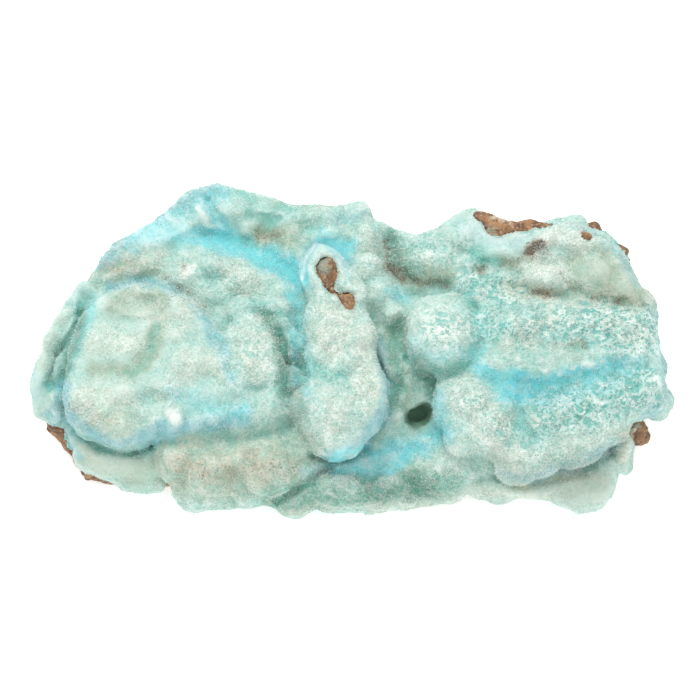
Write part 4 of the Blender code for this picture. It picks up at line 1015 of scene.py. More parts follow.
def tint_crust(target):
    """Stores how much of each colour, lace and smoothness the skin has at each vertex, and where shade is
    painted.
    """
    mesh = target.data
    points, normals = points_of(mesh), normals_of(mesh)
    towards = np.array((0, -math.cos(VIEW_TILT), math.sin(VIEW_TILT)))
    in_view = np.clip((normals @ towards + 0.25) / 0.35, 0, 1)
    places = seen(points)
    for k, offset in enumerate(WARP_OFFSETS[1:]):
        places[:, k] += sum(far * noise_at(points, length, offset) for far, length in TINT_WARPS)
    for k, (name, strokes) in enumerate(TINTS.items()):
        painted = stroke_cover(places, strokes)
        drift = noise_at(points, DRIFT_SIZE, (17.0 * k, 3.0, 40.0))
        wild = np.clip(drift * 2.2 - WILD_SHARE[name], 0, 1)
        store(mesh, name, painted * in_view + wild * (1 - in_view))
    # Painted shade: the walls deep inside the hole are marked to take the dark green cave colour.
    depth = np.clip((CAVE_MOUTH - points[:, 2]) / 3.0, 0, 1)
    inside = stroke_cover(seen(points), [CAVE_SHADE])
    store(mesh, "cave", np.clip(inside * 1.6, 0, 1) * depth)
    # hill and mound say how hollow or swelling the skin is; they set where shade and light are painted into
    # its colour.
    store(mesh, "hill", swelling(target, 6, 0.16))
    store(mesh, "mound", swelling(target, 50, 0.9))


def tint_rock(target):
    """Stores where the bare rock wears a grey-green film or a pale crust."""
    points = points_of(target.data)
    places = seen(points)
    for name, strokes in ROCK_TINTS.items():
        drift = noise_at(points, ROCK_DRIFT_SIZE, (len(name), 3.0, 8.0))
        hidden = np.clip(2.0 * drift - 0.3, 0, 0.8) * (points[:, 2] < ROCK_SHOWN)
        store(target.data, name, np.maximum(stroke_cover(places, strokes), hidden))
    # hill says how hollow the rock is, for the painted shade in its hollows.
    store(target.data, "hill", swelling(target, 12, 0.3))


def add(tree, kind, inputs=None, **settings):
    """Adds a node; an input is set to a value, or joined where the value is a socket."""
    node = tree.nodes.new(kind)
    for key, value in settings.items():
        setattr(node, key, value)
    for key, value in (inputs or {}).items():
        if isinstance(value, bpy.types.NodeSocket):
            tree.links.new(value, node.inputs[key])
        else:
            node.inputs[key].default_value = value
    return node


def calc(tree, operation, a, b=0.0, clamp=False):
    made = add(tree, "ShaderNodeMath", {0: a, 1: b}, operation=operation, use_clamp=clamp)
    return made.outputs[0]


def times(tree, a, b):
    return calc(tree, "MULTIPLY", a, b)


def vector_calc(tree, operation, a, b):
    second = {"SCALE": "Scale"}.get(operation, 1)
    return add(tree, "ShaderNodeVectorMath", {0: a, second: b}, operation=operation).outputs[0]


def between(tree, value, low, high):
    """Rises smoothly from 0 at low to 1 at high."""
    made = add(
        tree, "ShaderNodeMapRange", {"Value": value, "From Min": low, "From Max": high},
        interpolation_type="SMOOTHSTEP",
    )
    return made.outputs["Result"]


def cells(tree, where, scale, feature="F1", softness=0.0):
    """A Voronoi pattern with about this many cells to the metre."""
    made = add(
        tree, "ShaderNodeTexVoronoi", {"Vector": where, "Scale": scale},
        voronoi_dimensions="3D", feature=feature,
    )
    if feature == "SMOOTH_F1":
        made.inputs["Smoothness"].default_value = softness
    return made


def clouds(tree, where, scale, detail=2.0):
    made = add(tree, "ShaderNodeTexNoise", {"Vector": where, "Scale": scale, "Detail": detail})
    return made.outputs[0]


def blend(tree, share, first, second, mode="MIX"):
    """Mixes two colours."""
    made = add(
        tree, "ShaderNodeMix", {0: share, 6: first, 7: second},
        data_type="RGBA", blend_type=mode, clamp_factor=True,
    )
    return made.outputs[2]


def named(tree, name):
    """An attribute of the mesh, as a number."""
    if tree.bl_idname == "GeometryNodeTree":
        node = add(tree, "GeometryNodeInputNamedAttribute", {"Name": name}, data_type="FLOAT")
        return node.outputs[0]
    return add(tree, "ShaderNodeAttribute", attribute_name=name).outputs["Fac"]


def lace_holes(tree, where, size):
    """1 inside the open meshes of an uneven net, 0 on its threads; the meshes are about this wide."""
    per_size = calc(tree, "DIVIDE", 1.0, size)
    bend = add(tree, "ShaderNodeTexNoise", {"Vector": where, "Scale": per_size, "Detail": 1.0})
    bend = vector_calc(tree, "SUBTRACT", bend.outputs["Color"], (0.5, 0.5, 0.5))
    bend = vector_calc(tree, "SCALE", bend, times(tree, size, 0.9))
    bent = vector_calc(tree, "ADD", where, bend)
    holes = None
    for finer, chance in ((1.0, 0.62), (1.9, 0.5), (3.3, 0.45)):
        scale = times(tree, per_size, finer)
        edge = cells(tree, bent, scale, "DISTANCE_TO_EDGE").outputs["Distance"]
        pick = add(tree, "ShaderNodeSeparateXYZ", {0: cells(tree, bent, scale).outputs["Color"]})
        picked = between(tree, pick.outputs[0], chance, chance + 0.15)
        opened = times(tree, between(tree, edge, 0.07, 0.2), picked)
        holes = calc(tree, "MAXIMUM", holes, opened) if holes else opened
    return holes


def new_tree(name, kind, inputs, outputs):
    """A node group with these named sockets; an input is (name, socket type, default)."""
    tree = bpy.data.node_groups.new(name, kind)
    for label, socket_type, default in inputs:
        socket = tree.interface.new_socket(name=label, in_out="INPUT", socket_type=socket_type)
        if default is not None:
            socket.default_value = default
    for label, socket_type in outputs:
        tree.interface.new_socket(name=label, in_out="OUTPUT", socket_type=socket_type)
    return tree, tree.nodes.new("NodeGroupInput"), tree.nodes.new("NodeGroupOutput")


def geometry_tree(name, inputs):
    sockets = [("Geometry", "NodeSocketGeometry", None)]
    sockets += inputs
    sockets += [("Material", "NodeSocketMaterial", None)]
    return new_tree(name, "GeometryNodeTree", sockets, [("Geometry", "NodeSocketGeometry")])


def finish_geometry(tree, given, out, geometry):
    """Ends a geometry tree with plain faces that wear the material."""
    plain = add(tree, "GeometryNodeRealizeInstances", {"Geometry": geometry})
    worn = add(
        tree, "GeometryNodeSetMaterial", {"Geometry": plain.outputs[0], "Material": given["Material"]}
    )
    tree.links.new(worn.outputs[0], out.inputs["Geometry"])


def displace(tree, given, out, height):
    """Moves the skin along its normal by this height."""
    shift = vector_calc(tree, "SCALE", add(tree, "GeometryNodeInputNormal").outputs[0], height)
    moved = add(
        tree, "GeometryNodeSetPosition", {"Geometry": given["Geometry"], "Offset": shift}
    )
    finish_geometry(tree, given, out, moved.outputs[0])


def crust_relief_tree():
    """Small domes, fine grain and lacy pits, all sunk below the form's own skin."""
    length = "NodeSocketFloat"
    tree, start, out = geometry_tree("crust_relief", [
        ("Lump Size", length, 0.0027), ("Lump Height", length, 0.00024),
        ("Pit Size", length, 0.0019), ("Pit Depth", length, 0.0003),
    ])
    given = start.outputs
    where = add(tree, "GeometryNodeInputPosition").outputs[0]
    rough = calc(tree, "SUBTRACT", 1.0, named(tree, "smooth"), clamp=True)
    rough = calc(tree, "MULTIPLY_ADD", rough, 0.8)
    rough.node.inputs[2].default_value = 0.2
    lumps = cells(tree, where, calc(tree, "DIVIDE", 1.0, given["Lump Size"]), "SMOOTH_F1", 0.25)
    sunk = between(tree, lumps.outputs["Distance"], 0.1, 0.75)
    small = cells(tree, where, calc(tree, "DIVIDE", 2.3, given["Lump Size"]), "SMOOTH_F1", 0.2)
    sunk_small = between(tree, small.outputs["Distance"], 0.1, 0.75)
    lump = times(tree, sunk, given["Lump Height"])
    small_lump = times(tree, times(tree, sunk_small, 0.45), given["Lump Height"])
    lump = calc(tree, "ADD", lump, small_lump)
    lump = times(tree, lump, rough)
    pit = times(tree, lace_holes(tree, where, given["Pit Size"]), given["Pit Depth"])
    pit = times(tree, pit, named(tree, "lace"))
    depth = calc(tree, "ADD", lump, pit)
    displace(tree, given, out, times(tree, depth, -1.0))
    return tree


def rock_relief_tree():
    """Crumbs and chips on the bare rock, above its flat foot."""
    length = "NodeSocketFloat"
    tree, start, out = geometry_tree("rock_relief", [
        ("Crumb Size", length, 0.0014), ("Crumb Height", length, 0.00045),
        ("Foot Height", length, 0.0006),
    ])
    given = start.outputs
    where = add(tree, "GeometryNodeInputPosition").outputs[0]
    flakes = clouds(tree, where, calc(tree, "DIVIDE", 0.45, given["Crumb Size"]), 2.0)
    crumbs = clouds(tree, where, calc(tree, "DIVIDE", 1.0, given["Crumb Size"]), 4.0)
    height = calc(tree, "ADD", between(tree, flakes, 0.4, 0.6), times(tree, crumbs, 2.0))
    height = calc(tree, "SUBTRACT", height, 1.6)
    height = times(tree, height, given["Crumb Height"])
    up = add(tree, "ShaderNodeSeparateXYZ", {0: where}).outputs["Z"]
    above = calc(tree, "DIVIDE", up, given["Foot Height"], clamp=True)
    displace(tree, given, out, times(tree, height, above))
    return tree


def nap_tree():
    """Sows pointed three-sided crystals over a skin, each along the skin's normal with a lean."""
    number = "NodeSocketFloat"
    tree, start, out = geometry_tree("crystal_nap", [
        ("Sown Where", "NodeSocketString", ""), ("Density", number, 1.0), ("Seed", "NodeSocketInt", 0),
        ("Length", number, 0.00055), ("Width", number, 0.00021), ("Lean", number, 1.0),
        ("Sunk", number, 0.00014),
    ])
    given = start.outputs
    share = add(
        tree, "GeometryNodeInputNamedAttribute", {"Name": given["Sown Where"]}, data_type="FLOAT"
    )
    sown = add(
        tree, "GeometryNodeDistributePointsOnFaces",
        {"Mesh": given["Geometry"], "Seed": given["Seed"],
         "Density": times(tree, given["Density"], share.outputs[0])},
        distribute_method="RANDOM",
    )
    crystal = add(
        tree, "GeometryNodeMeshCone",
        {"Vertices": 3, "Radius Top": 0.0, "Depth": given["Length"],
         "Radius Bottom": calc(tree, "DIVIDE", given["Width"], 1.732)},
        fill_type="NGON",
    )
    height = add(tree, "ShaderNodeSeparateXYZ", {0: add(tree, "GeometryNodeInputPosition").outputs[0]})
    tip = add(
        tree, "GeometryNodeStoreNamedAttribute",
        {"Geometry": crystal.outputs["Mesh"], "Name": "tip",
         "Value": calc(tree, "DIVIDE", height.outputs["Z"], given["Length"])},
        data_type="FLOAT", domain="POINT",
    )
    sink = add(tree, "ShaderNodeCombineXYZ", {"Z": times(tree, given["Sunk"], -1.0)})
    planted = add(
        tree, "GeometryNodeTransform", {"Geometry": tip.outputs[0], "Translation": sink.outputs[0]}
    )
    lean_back = times(tree, given["Lean"], -1.0)
    low = add(tree, "ShaderNodeCombineXYZ", {"X": lean_back, "Y": lean_back, "Z": 0.0})
    high = add(tree, "ShaderNodeCombineXYZ", {"X": given["Lean"], "Y": given["Lean"], "Z": 6.283})
    turn = add(
        tree, "FunctionNodeRandomValue",
        {0: low.outputs[0], 1: high.outputs[0], "Seed": given["Seed"]}, data_type="FLOAT_VECTOR",
    )
    turned = add(
        tree, "FunctionNodeRotateRotation",
        {"Rotation": sown.outputs["Rotation"], "Rotate By": turn.outputs[0]}, rotation_space="LOCAL",
    )
    size = add(
        tree, "FunctionNodeRandomValue",
        {2: 0.6, 3: 1.35, "Seed": calc(tree, "ADD", given["Seed"], 11)}, data_type="FLOAT",
    )
    grown_crystals = add(
        tree, "GeometryNodeInstanceOnPoints",
        {"Points": sown.outputs["Points"], "Instance": planted.outputs[0],
         "Rotation": turned.outputs[0], "Scale": size.outputs[1]},
    )
    finish_geometry(tree, given, out, grown_crystals.outputs[0])
    return tree


def grow(target, tree, values):
    """Runs a geometry tree on the object, with its inputs named, and keeps the plain result."""
    modifier = target.modifiers.new(tree.name, "NODES")
    modifier.node_group = tree
    for item in tree.interface.items_tree:
        if item.in_out == "INPUT" and item.name in values:
            modifier[item.identifier] = values[item.name]
    bake_modifiers(target)


def without(tree, value, share):
    """What is left of 1 once this share of the value is taken away."""
    return calc(tree, "SUBTRACT", 1.0, times(tree, value, share), clamp=True)


def painted(tree, fray, name, low, high):
    """Where a painted tint shows, with a frayed edge."""
    return between(tree, calc(tree, "ADD", named(tree, name), fray), low, high)


def shaded(tree, tone, saturation, value):
    inputs = {"Saturation": saturation, "Value": value, "Color": tone}
    return add(tree, "ShaderNodeHueSaturation", inputs).outputs[0]


def ground_colour(tree, given, fray):
    """The colour of each zone, one tint laid over the other, with the green of the valleys, partly painted
    shade, last.
    """
    tone = given["Aqua"]
    for name, low, high in GROUND:
        tone = blend(tree, painted(tree, fray, name, low, high), tone, given[name.title()])
    return blend(tree, times(tree, painted(tree, fray, "moss", 0.15, 0.9), 0.9), tone, given["Moss"])


def patched(tree, given, where, lace, tone):
    """Patches a few millimetres wide, greener or whiter than the zone, strongest where it is lacy."""
    share = calc(tree, "ADD", times(tree, lace, 0.5), 0.3)
    share = times(tree, share, without(tree, named(tree, "smooth"), 0.8))
    mottle = clouds(tree, where, MOTTLE_SCALE, 2.0)
    green = times(tree, between(tree, mottle, 0.51, 0.62), share)
    tone = blend(tree, green, tone, blend(tree, 0.5, given["Teal"], given["Depth"]))
    white = times(tree, between(tree, mottle, 0.47, 0.36), share)
    return blend(tree, times(tree, white, 0.8), tone, given["Frost"])


def velvet_threads(tree, given, where):
    """White threads that wind round each other, and the gaps between them, which the colour group darkens
    partly as painted shade.
    """
    velvet = without(tree, named(tree, "smooth"), 0.9)
    winding = clouds(tree, where, calc(tree, "DIVIDE", 0.42, given["Grain Size"]), 2.0)
    off_thread = calc(tree, "ABSOLUTE", calc(tree, "SUBTRACT", winding, 0.5))
    thread = between(tree, off_thread, 0.075, 0.02)
    grains = cells(tree, where, calc(tree, "DIVIDE", 1.0, given["Grain Size"]))
    grain = between(tree, grains.outputs["Distance"], 0.7, 0.25)
    white = calc(tree, "ADD", times(tree, named(tree, "cream"), 0.75), 0.25)
    white = times(tree, white, without(tree, named(tree, "sky"), 0.6))
    crown = calc(tree, "ADD", times(tree, thread, 0.65), times(tree, grain, 0.2))
    crown = times(tree, crown, times(tree, white, velvet))
    gap = calc(tree, "SUBTRACT", 1.0, calc(tree, "MAXIMUM", thread, grain))
    return crown, times(tree, gap, times(tree, velvet, given["Grain Depth"]))


def stained(tree, given, where, fray, tone):
    """Brown stains: a thin wash full of small and larger specks, solid only at their hearts."""
    wash = times(tree, painted(tree, fray, "stain", 0.2, 1.1), 0.45)
    tone = blend(tree, wash, tone, given["Stain"])
    heart = times(tree, painted(tree, fray, "stain", 0.9, 1.4), 0.8)
    tone = blend(tree, heart, tone, given["Umber"])
    strong = between(tree, named(tree, "stain"), 0.35, 1.0)
    for scale, chance, tint in SPECK_SCALES:
        specks = cells(tree, where, scale)
        speck = between(tree, specks.outputs["Distance"], 0.6, 0.25)
        pick = add(tree, "ShaderNodeSeparateXYZ", {0: specks.outputs["Color"]}).outputs[1]
        shown = times(tree, speck, calc(tree, "LESS_THAN", pick, times(tree, strong, chance)))
        tone = blend(tree, times(tree, shown, 0.55), tone, given[tint])
    return tone


def aragonite_group(colours):
    """The stone's colour, with painted shade and light, its grain as a height, and how glossy it is, from
    the painted tints.
    """
    colour, number = "NodeSocketColor", "NodeSocketFloat"
    names = ("aqua", "sky", "teal", "powder", "cream", "sage", "sand", "moss", "stain", "umber",
             "depth", "cave", "frost")
    inputs = [(name.title(), colour, (*getattr(colours, name), 1.0)) for name in names]
    inputs += [("Tip", number, 0.0), ("Tip Frost", number, 0.5), ("Grain Size", number, 0.00045),
               ("Grain Depth", number, 0.45), ("Lace Size", number, 0.0019)]
    outputs = [("Colour", colour), ("Height", number), ("Rough", number)]
    tree, start, out = new_tree("aragonite_colour", "ShaderNodeTree", inputs, outputs)
    given = start.outputs
    where = add(tree, "ShaderNodeTexCoord").outputs["Object"]
    broad = clouds(tree, where, FRAY_SCALE, 3.0)
    fine = clouds(tree, where, GRAIN_SCALE, 2.0)
    fray = calc(tree, "ADD", times(tree, broad, 0.6), times(tree, fine, 0.4))
    fray = calc(tree, "SUBTRACT", fray, 0.5)
    lace = painted(tree, fray, "lace", 0.15, 0.85)
    tone = ground_colour(tree, given, fray)
    tone = patched(tree, given, where, lace, tone)

    # Painted shade and painted light: hollows are darker and deeper in colour, crowns whiter.
    deep = blend(tree, 0.5, shaded(tree, tone, 1.2, 0.86), given["Depth"])
    low_place = calc(tree, "ADD", named(tree, "hill"), named(tree, "mound"))
    low_place = times(tree, low_place, -0.5)
    tone = blend(tree, times(tree, between(tree, low_place, 0.05, 0.8), 0.35), tone, deep)
    tone = blend(tree, times(tree, between(tree, low_place, -0.05, -0.7), 0.25), tone, given["Frost"])

    # The gaps between the threads take the deeper teal, darkened partly as painted shade; the threads are
    # white.
    crown, gap = velvet_threads(tree, given, where)
    tone = blend(tree, gap, tone, deep)
    tone = blend(tree, crown, tone, given["Frost"])

    # Lace: a white net whose open meshes show the teal beneath.
    meshes = lace_holes(tree, where, given["Lace Size"])
    hole = times(tree, meshes, times(tree, lace, 0.9))
    web = times(tree, calc(tree, "SUBTRACT", 1.0, meshes), times(tree, lace, 0.36))
    tone = blend(tree, web, tone, given["Frost"])
    ice = times(tree, painted(tree, fray, "ice", 0.15, 0.9), 0.85)
    tone = blend(tree, ice, tone, given["Frost"])
    tone = blend(tree, hole, tone, given["Depth"])

    # Painted shade: where that tint lies, the tone is darkened and made a little more saturated.
    tone = blend(tree, painted(tree, fray, "dim", 0.0, 1.0), tone, shaded(tree, tone, 1.15, 0.72))
    tone = stained(tree, given, where, fray, tone)
    tone = blend(tree, times(tree, given["Tip"], given["Tip Frost"]), tone, given["Frost"])
    # Painted shade: the deep hole's walls take the dark green cave colour.
    tone = blend(tree, named(tree, "cave"), tone, given["Cave"])
    tree.links.new(tone, out.inputs["Colour"])

    height = calc(tree, "SUBTRACT", crown, times(tree, hole, 1.4))
    height = calc(tree, "ADD", calc(tree, "SUBTRACT", height, gap), times(tree, fine, 0.5))
    tree.links.new(height, out.inputs["Height"])
    rough = calc(tree, "SUBTRACT", 0.8, times(tree, named(tree, "smooth"), 0.2))
    tree.links.new(rough, out.inputs["Rough"])
    return tree


def rock_group(colours):
    """Crumbly brown rock with ochre crumbs, painted shade in its hollows and a grey-green film."""
    colour, number = "NodeSocketColor", "NodeSocketFloat"
    names = ("rock", "ochre", "umber", "lichen", "husk")
    inputs = [(name.title(), colour, (*getattr(colours, name), 1.0)) for name in names]
    outputs = [("Colour", colour), ("Height", number)]
    tree, start, out = new_tree("rock_colour", "ShaderNodeTree", inputs, outputs)
    given = start.outputs
    where = add(tree, "ShaderNodeTexCoord").outputs["Object"]
    broad, medium, fine = (
        clouds(tree, where, scale, detail) for scale, detail in zip(ROCK_SCALES, (4.0, 4.0, 3.0))
    )
    tone = blend(tree, between(tree, broad, 0.45, 0.6), given["Rock"], given["Ochre"])
    tone = blend(tree, times(tree, between(tree, medium, 0.52, 0.62), 0.5), tone, given["Ochre"])
    tone = blend(tree, times(tree, between(tree, medium, 0.47, 0.37), 0.5), tone, given["Umber"])
    fray = times(tree, calc(tree, "SUBTRACT", medium, 0.5), 1.6)
    for name, tint in (("film", "Lichen"), ("pale", "Husk")):
        cover = times(tree, painted(tree, fray, name, 0.3, 0.7), 0.8)
        tone = blend(tree, cover, tone, given[tint])
    # Painted shade: the rock's hollows are darkened towards umber.
    low_place = between(tree, named(tree, "hill"), 0.1, -0.8)
    tone = blend(tree, times(tree, low_place, 0.6), tone, given["Umber"])
    grains = cells(tree, where, ROCK_GRAIN_SCALE)
    pick = add(tree, "ShaderNodeSeparateXYZ", {0: grains.outputs["Color"]}).outputs[0]
    grain = between(tree, grains.outputs["Distance"], 0.65, 0.3)
    for test, limit, tint in (("LESS_THAN", 0.25, "Umber"), ("GREATER_THAN", 0.8, "Husk")):
        picked = times(tree, grain, calc(tree, test, pick, limit))
        tone = blend(tree, times(tree, picked, 0.35), tone, given[tint])
    tree.links.new(tone, out.inputs["Colour"])
    height = calc(tree, "ADD", medium, times(tree, calc(tree, "ADD", fine, grain), 0.5))
    tree.links.new(height, out.inputs["Height"])
    return tree


def stone_material(name, group, values, roughness=None, bump=0.0, reach=0.0002):
    """A material whose colour, height and roughness come from a group, with these values."""
    material = bpy.data.materials.new(name)
    material.use_nodes = True
    tree = material.node_tree
    shader = tree.nodes["Principled BSDF"]
    look = add(tree, "ShaderNodeGroup", node_tree=group)
    for key, value in values.items():
        if isinstance(value, str):
            tree.links.new(named(tree, value), look.inputs[key])
        else:
            look.inputs[key].default_value = value
    tree.links.new(look.outputs["Colour"], shader.inputs["Base Color"])
    if roughness is None:
        tree.links.new(look.outputs["Rough"], shader.inputs["Roughness"])
    else:
        shader.inputs["Roughness"].default_value = roughness
    if bump:
        relief = add(
            tree, "ShaderNodeBump", {"Strength": bump, "Distance": reach, "Height": look.outputs["Height"]}
        )
        tree.links.new(relief.outputs["Normal"], shader.inputs["Normal"])
    return material


def aragonite_material(name, values, bump, glow):
    settings = bpy.context.scene.specimen_colours
    group = bpy.data.node_groups.get("aragonite_colour") or aragonite_group(settings)
    material = stone_material(name, group, values, bump=bump)
    shader = material.node_tree.nodes["Principled BSDF"]
    shader.inputs["Specular IOR Level"].default_value = 0.35
    shader.inputs["Subsurface Weight"].default_value = glow
    shader.inputs["Subsurface Radius"].default_value = (0.7, 1.0, 0.95)
    shader.inputs["Subsurface Scale"].default_value = 0.0008
    shader.inputs["Sheen Weight"].default_value = 0.12
    shader.inputs["Sheen Roughness"].default_value = 0.5
    return material


class SpecimenSizes(PropertyGroup):
    """How finely the stone is modelled, and the size of its relief."""

    crust_detail: FloatProperty(
        name="Crust detail", description="Smallest form kept on the crust",
        default=0.00046, unit="LENGTH",
    )
    rock_detail: FloatProperty(
        name="Rock detail", description="Smallest form kept on the rock",
        default=0.00052, unit="LENGTH",
    )
    lump_size: FloatProperty(
        name="Lump size", description="Width of the small domes on the crust",
        default=0.0027, unit="LENGTH",
    )
    lump_height: FloatProperty(
        name="Lump height", description="How far the small domes stand out",
        default=0.00024, unit="LENGTH",
    )
    pit_size: FloatProperty(
        name="Pit size", description="Spacing of the pits in the lacy patches",
        default=0.0019, unit="LENGTH",
    )
    pit_depth: FloatProperty(
        name="Pit depth", description="Depth of the pits in the lacy patches",
        default=0.0003, unit="LENGTH",
    )
    crumb_size: FloatProperty(
        name="Crumb size", description="Width of the crumbs on the bare rock",
        default=0.0014, unit="LENGTH",
    )
    crumb_height: FloatProperty(
        name="Crumb height", description="How far the crumbs stand out",
        default=0.00045, unit="LENGTH",
    )
    needle_length: FloatProperty(
        name="Needle length", description="Length of a crystal in the velvet nap",
        default=0.00055, unit="LENGTH",
    )
    needle_width: FloatProperty(
        name="Needle width", description="Width of a crystal at its foot",
        default=0.00021, unit="LENGTH",
    )
    needles: IntProperty(
        name="Needles", description="Crystals in each sowing of the nap", default=60000,
    )


class SpecimenColours(PropertyGroup):
    """The colours of the stone."""

    aqua: tint_property("Aqua", "Pale blue-green between the other colours", "#B6D6CC")
    sky: tint_property("Sky", "Clear blue in the channels", "#7CD8DF")
    teal: tint_property("Teal", "Green-blue of pits and valleys", "#80C4B9")
    powder: tint_property("Powder", "Smooth bluish-white rims", "#88C0C5")
    cream: tint_property("Cream", "White velvet on the crowns", "#CADCCD")
    sage: tint_property("Sage", "Grey-green of the older lobes", "#ABBEA9")
    sand: tint_property("Sand", "Greyish beige of the stained lobes", "#D4D0BA")
    # Moss is grey-green, partly the valleys' own colour and partly painted shade in them.
    moss: tint_property("Moss", "Grey-green of the valleys", "#6FA894")
    stain: tint_property("Stain", "Brown specks", "#8A7150")
    # Depth is also mixed into the painted shade of hollows and of the gaps between threads.
    depth: tint_property("Depth", "Deep teal seen between crystals", "#78C2B9")
    # The cave colour is painted shade for the walls deep inside the hole.
    cave: tint_property("Cave", "Deep green inside the hole", "#668E76")
    # Frost is the white of the crystals, and also the painted light that whitens the crowns.
    frost: tint_property("Frost", "Tips of the crystals", "#F4F9F3")
    rock: tint_property("Rock", "Brown of the bare rock", "#85644B")
    ochre: tint_property("Ochre", "Orange-brown crumbs", "#B08762")
    # Umber is the dark brown of the rock's grains and of the stains' hearts, and also the painted shade in
    # the rock's hollows.
    umber: tint_property("Umber", "Dark hollows of the rock", "#55402F")
    husk: tint_property("Husk", "Pale grains in the rock", "#D3C6B2")
    lichen: tint_property("Lichen grey", "Grey-green film on the rock", "#97A08E")
    floor: tint_property("Floor", "Table and backdrop", "#FFFFFF")


def wear(target, material):
    target.data.materials.clear()
    target.data.materials.append(material)


def finish_piece(target, slot, *nodes):
    """Sets a finished piece on the specimen, in place of these CAD nodes."""
    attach(target, "root")
    if nodes:
        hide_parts(*nodes)


def grid_map(mesh):
    """Gives each face its own small square of the bake, row by row."""
    layer = mesh.uv_layers.new(name="OFBake")
    faces = len(mesh.polygons)
    side = math.ceil(math.sqrt(faces))
    spot = np.arange(faces)
    corner = np.stack([spot % side, spot // side], axis=1) / side
    shape = np.array(((0.08, 0.08), (0.92, 0.08), (0.08, 0.92))) / side
    layer.uv.foreach_set("vector", (corner[:, None, :] + shape).astype(np.float32).ravel())


class SPECIMEN_OT_rock(Operator):
    """Shape the bare brown rock under the crust"""

    bl_idname = "specimen.rock"
    bl_label = "Rock"

    def execute(self, context):
        sizes, colours = context.scene.specimen_sizes, context.scene.specimen_colours
        rock = rock_form(sizes.rock_detail / MM)
        rock.name = "rock_body"
        above_floor(rock, 0.0)
        keep_largest_island(rock)
        tint_rock(rock)
        settle(rock, CENTRING)
        material = stone_material("brown_rock_look", rock_group(colours), {}, roughness=0.88, bump=0.6)
        grow(rock, rock_relief_tree(), {
            "Crumb Size": sizes.crumb_size, "Crumb Height": sizes.crumb_height, "Material": material,
        })
        finish_piece(rock, "brown_rock", "matrix_rock")
        return {"FINISHED"}


class SPECIMEN_OT_crust(Operator):
    """Shape the lumpy aragonite crust, seat it on the rock and paint its tints"""

    bl_idname = "specimen.crust"
    bl_label = "Crust"

    def execute(self, context):
        sizes = context.scene.specimen_sizes
        crust = crust_form(sizes.crust_detail / MM)
        crust.name = "crust_body"
        above_floor(crust, CRUST_FLOOR)
        seat = rock_form(ROCK_VOXEL)
        seat_skin = grown(seat, SEAT_GAP)
        cut(crust, seat_skin, "seat")
        bpy.data.objects.remove(seat)
        bpy.data.objects.remove(seat_skin)
        keep_largest_island(crust)
        tint_crust(crust)
        settle(crust, CENTRING)
        material = aragonite_material("blue_aragonite_look", {}, bump=0.5, glow=0.25)
        grow(crust, crust_relief_tree(), {
            "Lump Size": sizes.lump_size, "Lump Height": sizes.lump_height,
            "Pit Size": sizes.pit_size, "Pit Depth": sizes.pit_depth, "Material": material,
        })
        crust.data.calc_loop_triangles()
        if len(crust.data.loop_triangles) > PIECE_TRIANGLES:
            thin_out(crust, PIECE_TRIANGLES)
        finish_piece(crust, "blue_aragonite", "aragonite_crust")
        return {"FINISHED"}


def sowing_weights(mesh):
    """Stores where each kind of crystal grows on the crust."""
    skin = {name: stored(mesh, name) for name in (*TINTS, "cave")}
    normals = normals_of(mesh)
    open_air = np.clip((normals[:, 2] + 0.35) / 0.3, 0, 1) * (1 - skin["cave"])
    velvet = np.clip(1.0 - 0.95 * skin["smooth"], 0, 1) * (1 - 0.5 * skin["lace"]) * open_air
    white = np.clip(skin["cream"] + 0.35 * skin["lace"] - 0.5 * skin["sky"], 0, 1)
    blue = np.clip(skin["sky"] + 0.5 * skin["teal"], 0, 1)
    points = points_of(mesh) / MM
    tufts = np.clip(0.5 + 2.2 * noise_at(points, 1.3, (9.0, 2.0, 5.0)), 0.05, 1)
    store(mesh, "white_nap", velvet * tufts * (0.08 + 0.92 * white))
    store(mesh, "grey_nap", velvet * tufts * np.clip(1.0 - white - 0.6 * blue, 0.06, 1))
    rough = np.clip(1 - 0.6 * skin["smooth"], 0, 1)
    store(mesh, "blue_nap", open_air * tufts * np.clip(blue, 0, 1) * rough)
    places = seen(points - np.array(CENTRING))
    front = np.clip(-normals[:, 1] * 2.0 + normals[:, 2], 0, 1)
    store(mesh, "ledge_nap", stroke_cover(places, [(1.0, 1.1, FRINGE)]) * front)


def weighted_area(mesh, name):
    """The skin's area in square metres, each face counted by its share of this weight."""
    weights = stored(mesh, name)
    mesh.calc_loop_triangles()
    corners = np.empty(len(mesh.loop_triangles) * 3, np.int32)
    mesh.loop_triangles.foreach_get("vertices", corners)
    corners = corners.reshape(-1, 3)
    points = points_of(mesh)[corners]
    areas = np.linalg.norm(np.cross(points[:, 1] - points[:, 0], points[:, 2] - points[:, 0]), axis=1) / 2
    return float((areas * weights[corners].mean(axis=1)).sum())


# name of the piece: (where it is sown, share of the needles, length, width, lean, whiteness of its tips)
NAPS = {
    "white_nap": (0.75, 1.0, 1.0, 1.1, 0.95),
    "grey_nap": (0.6, 0.75, 0.9, 1.0, 0.4),
    "blue_nap": (0.4, 0.65, 0.9, 0.9, 0.5),
    "ledge_nap": (0.07, 1.1, 1.1, 0.45, 0.8),
}


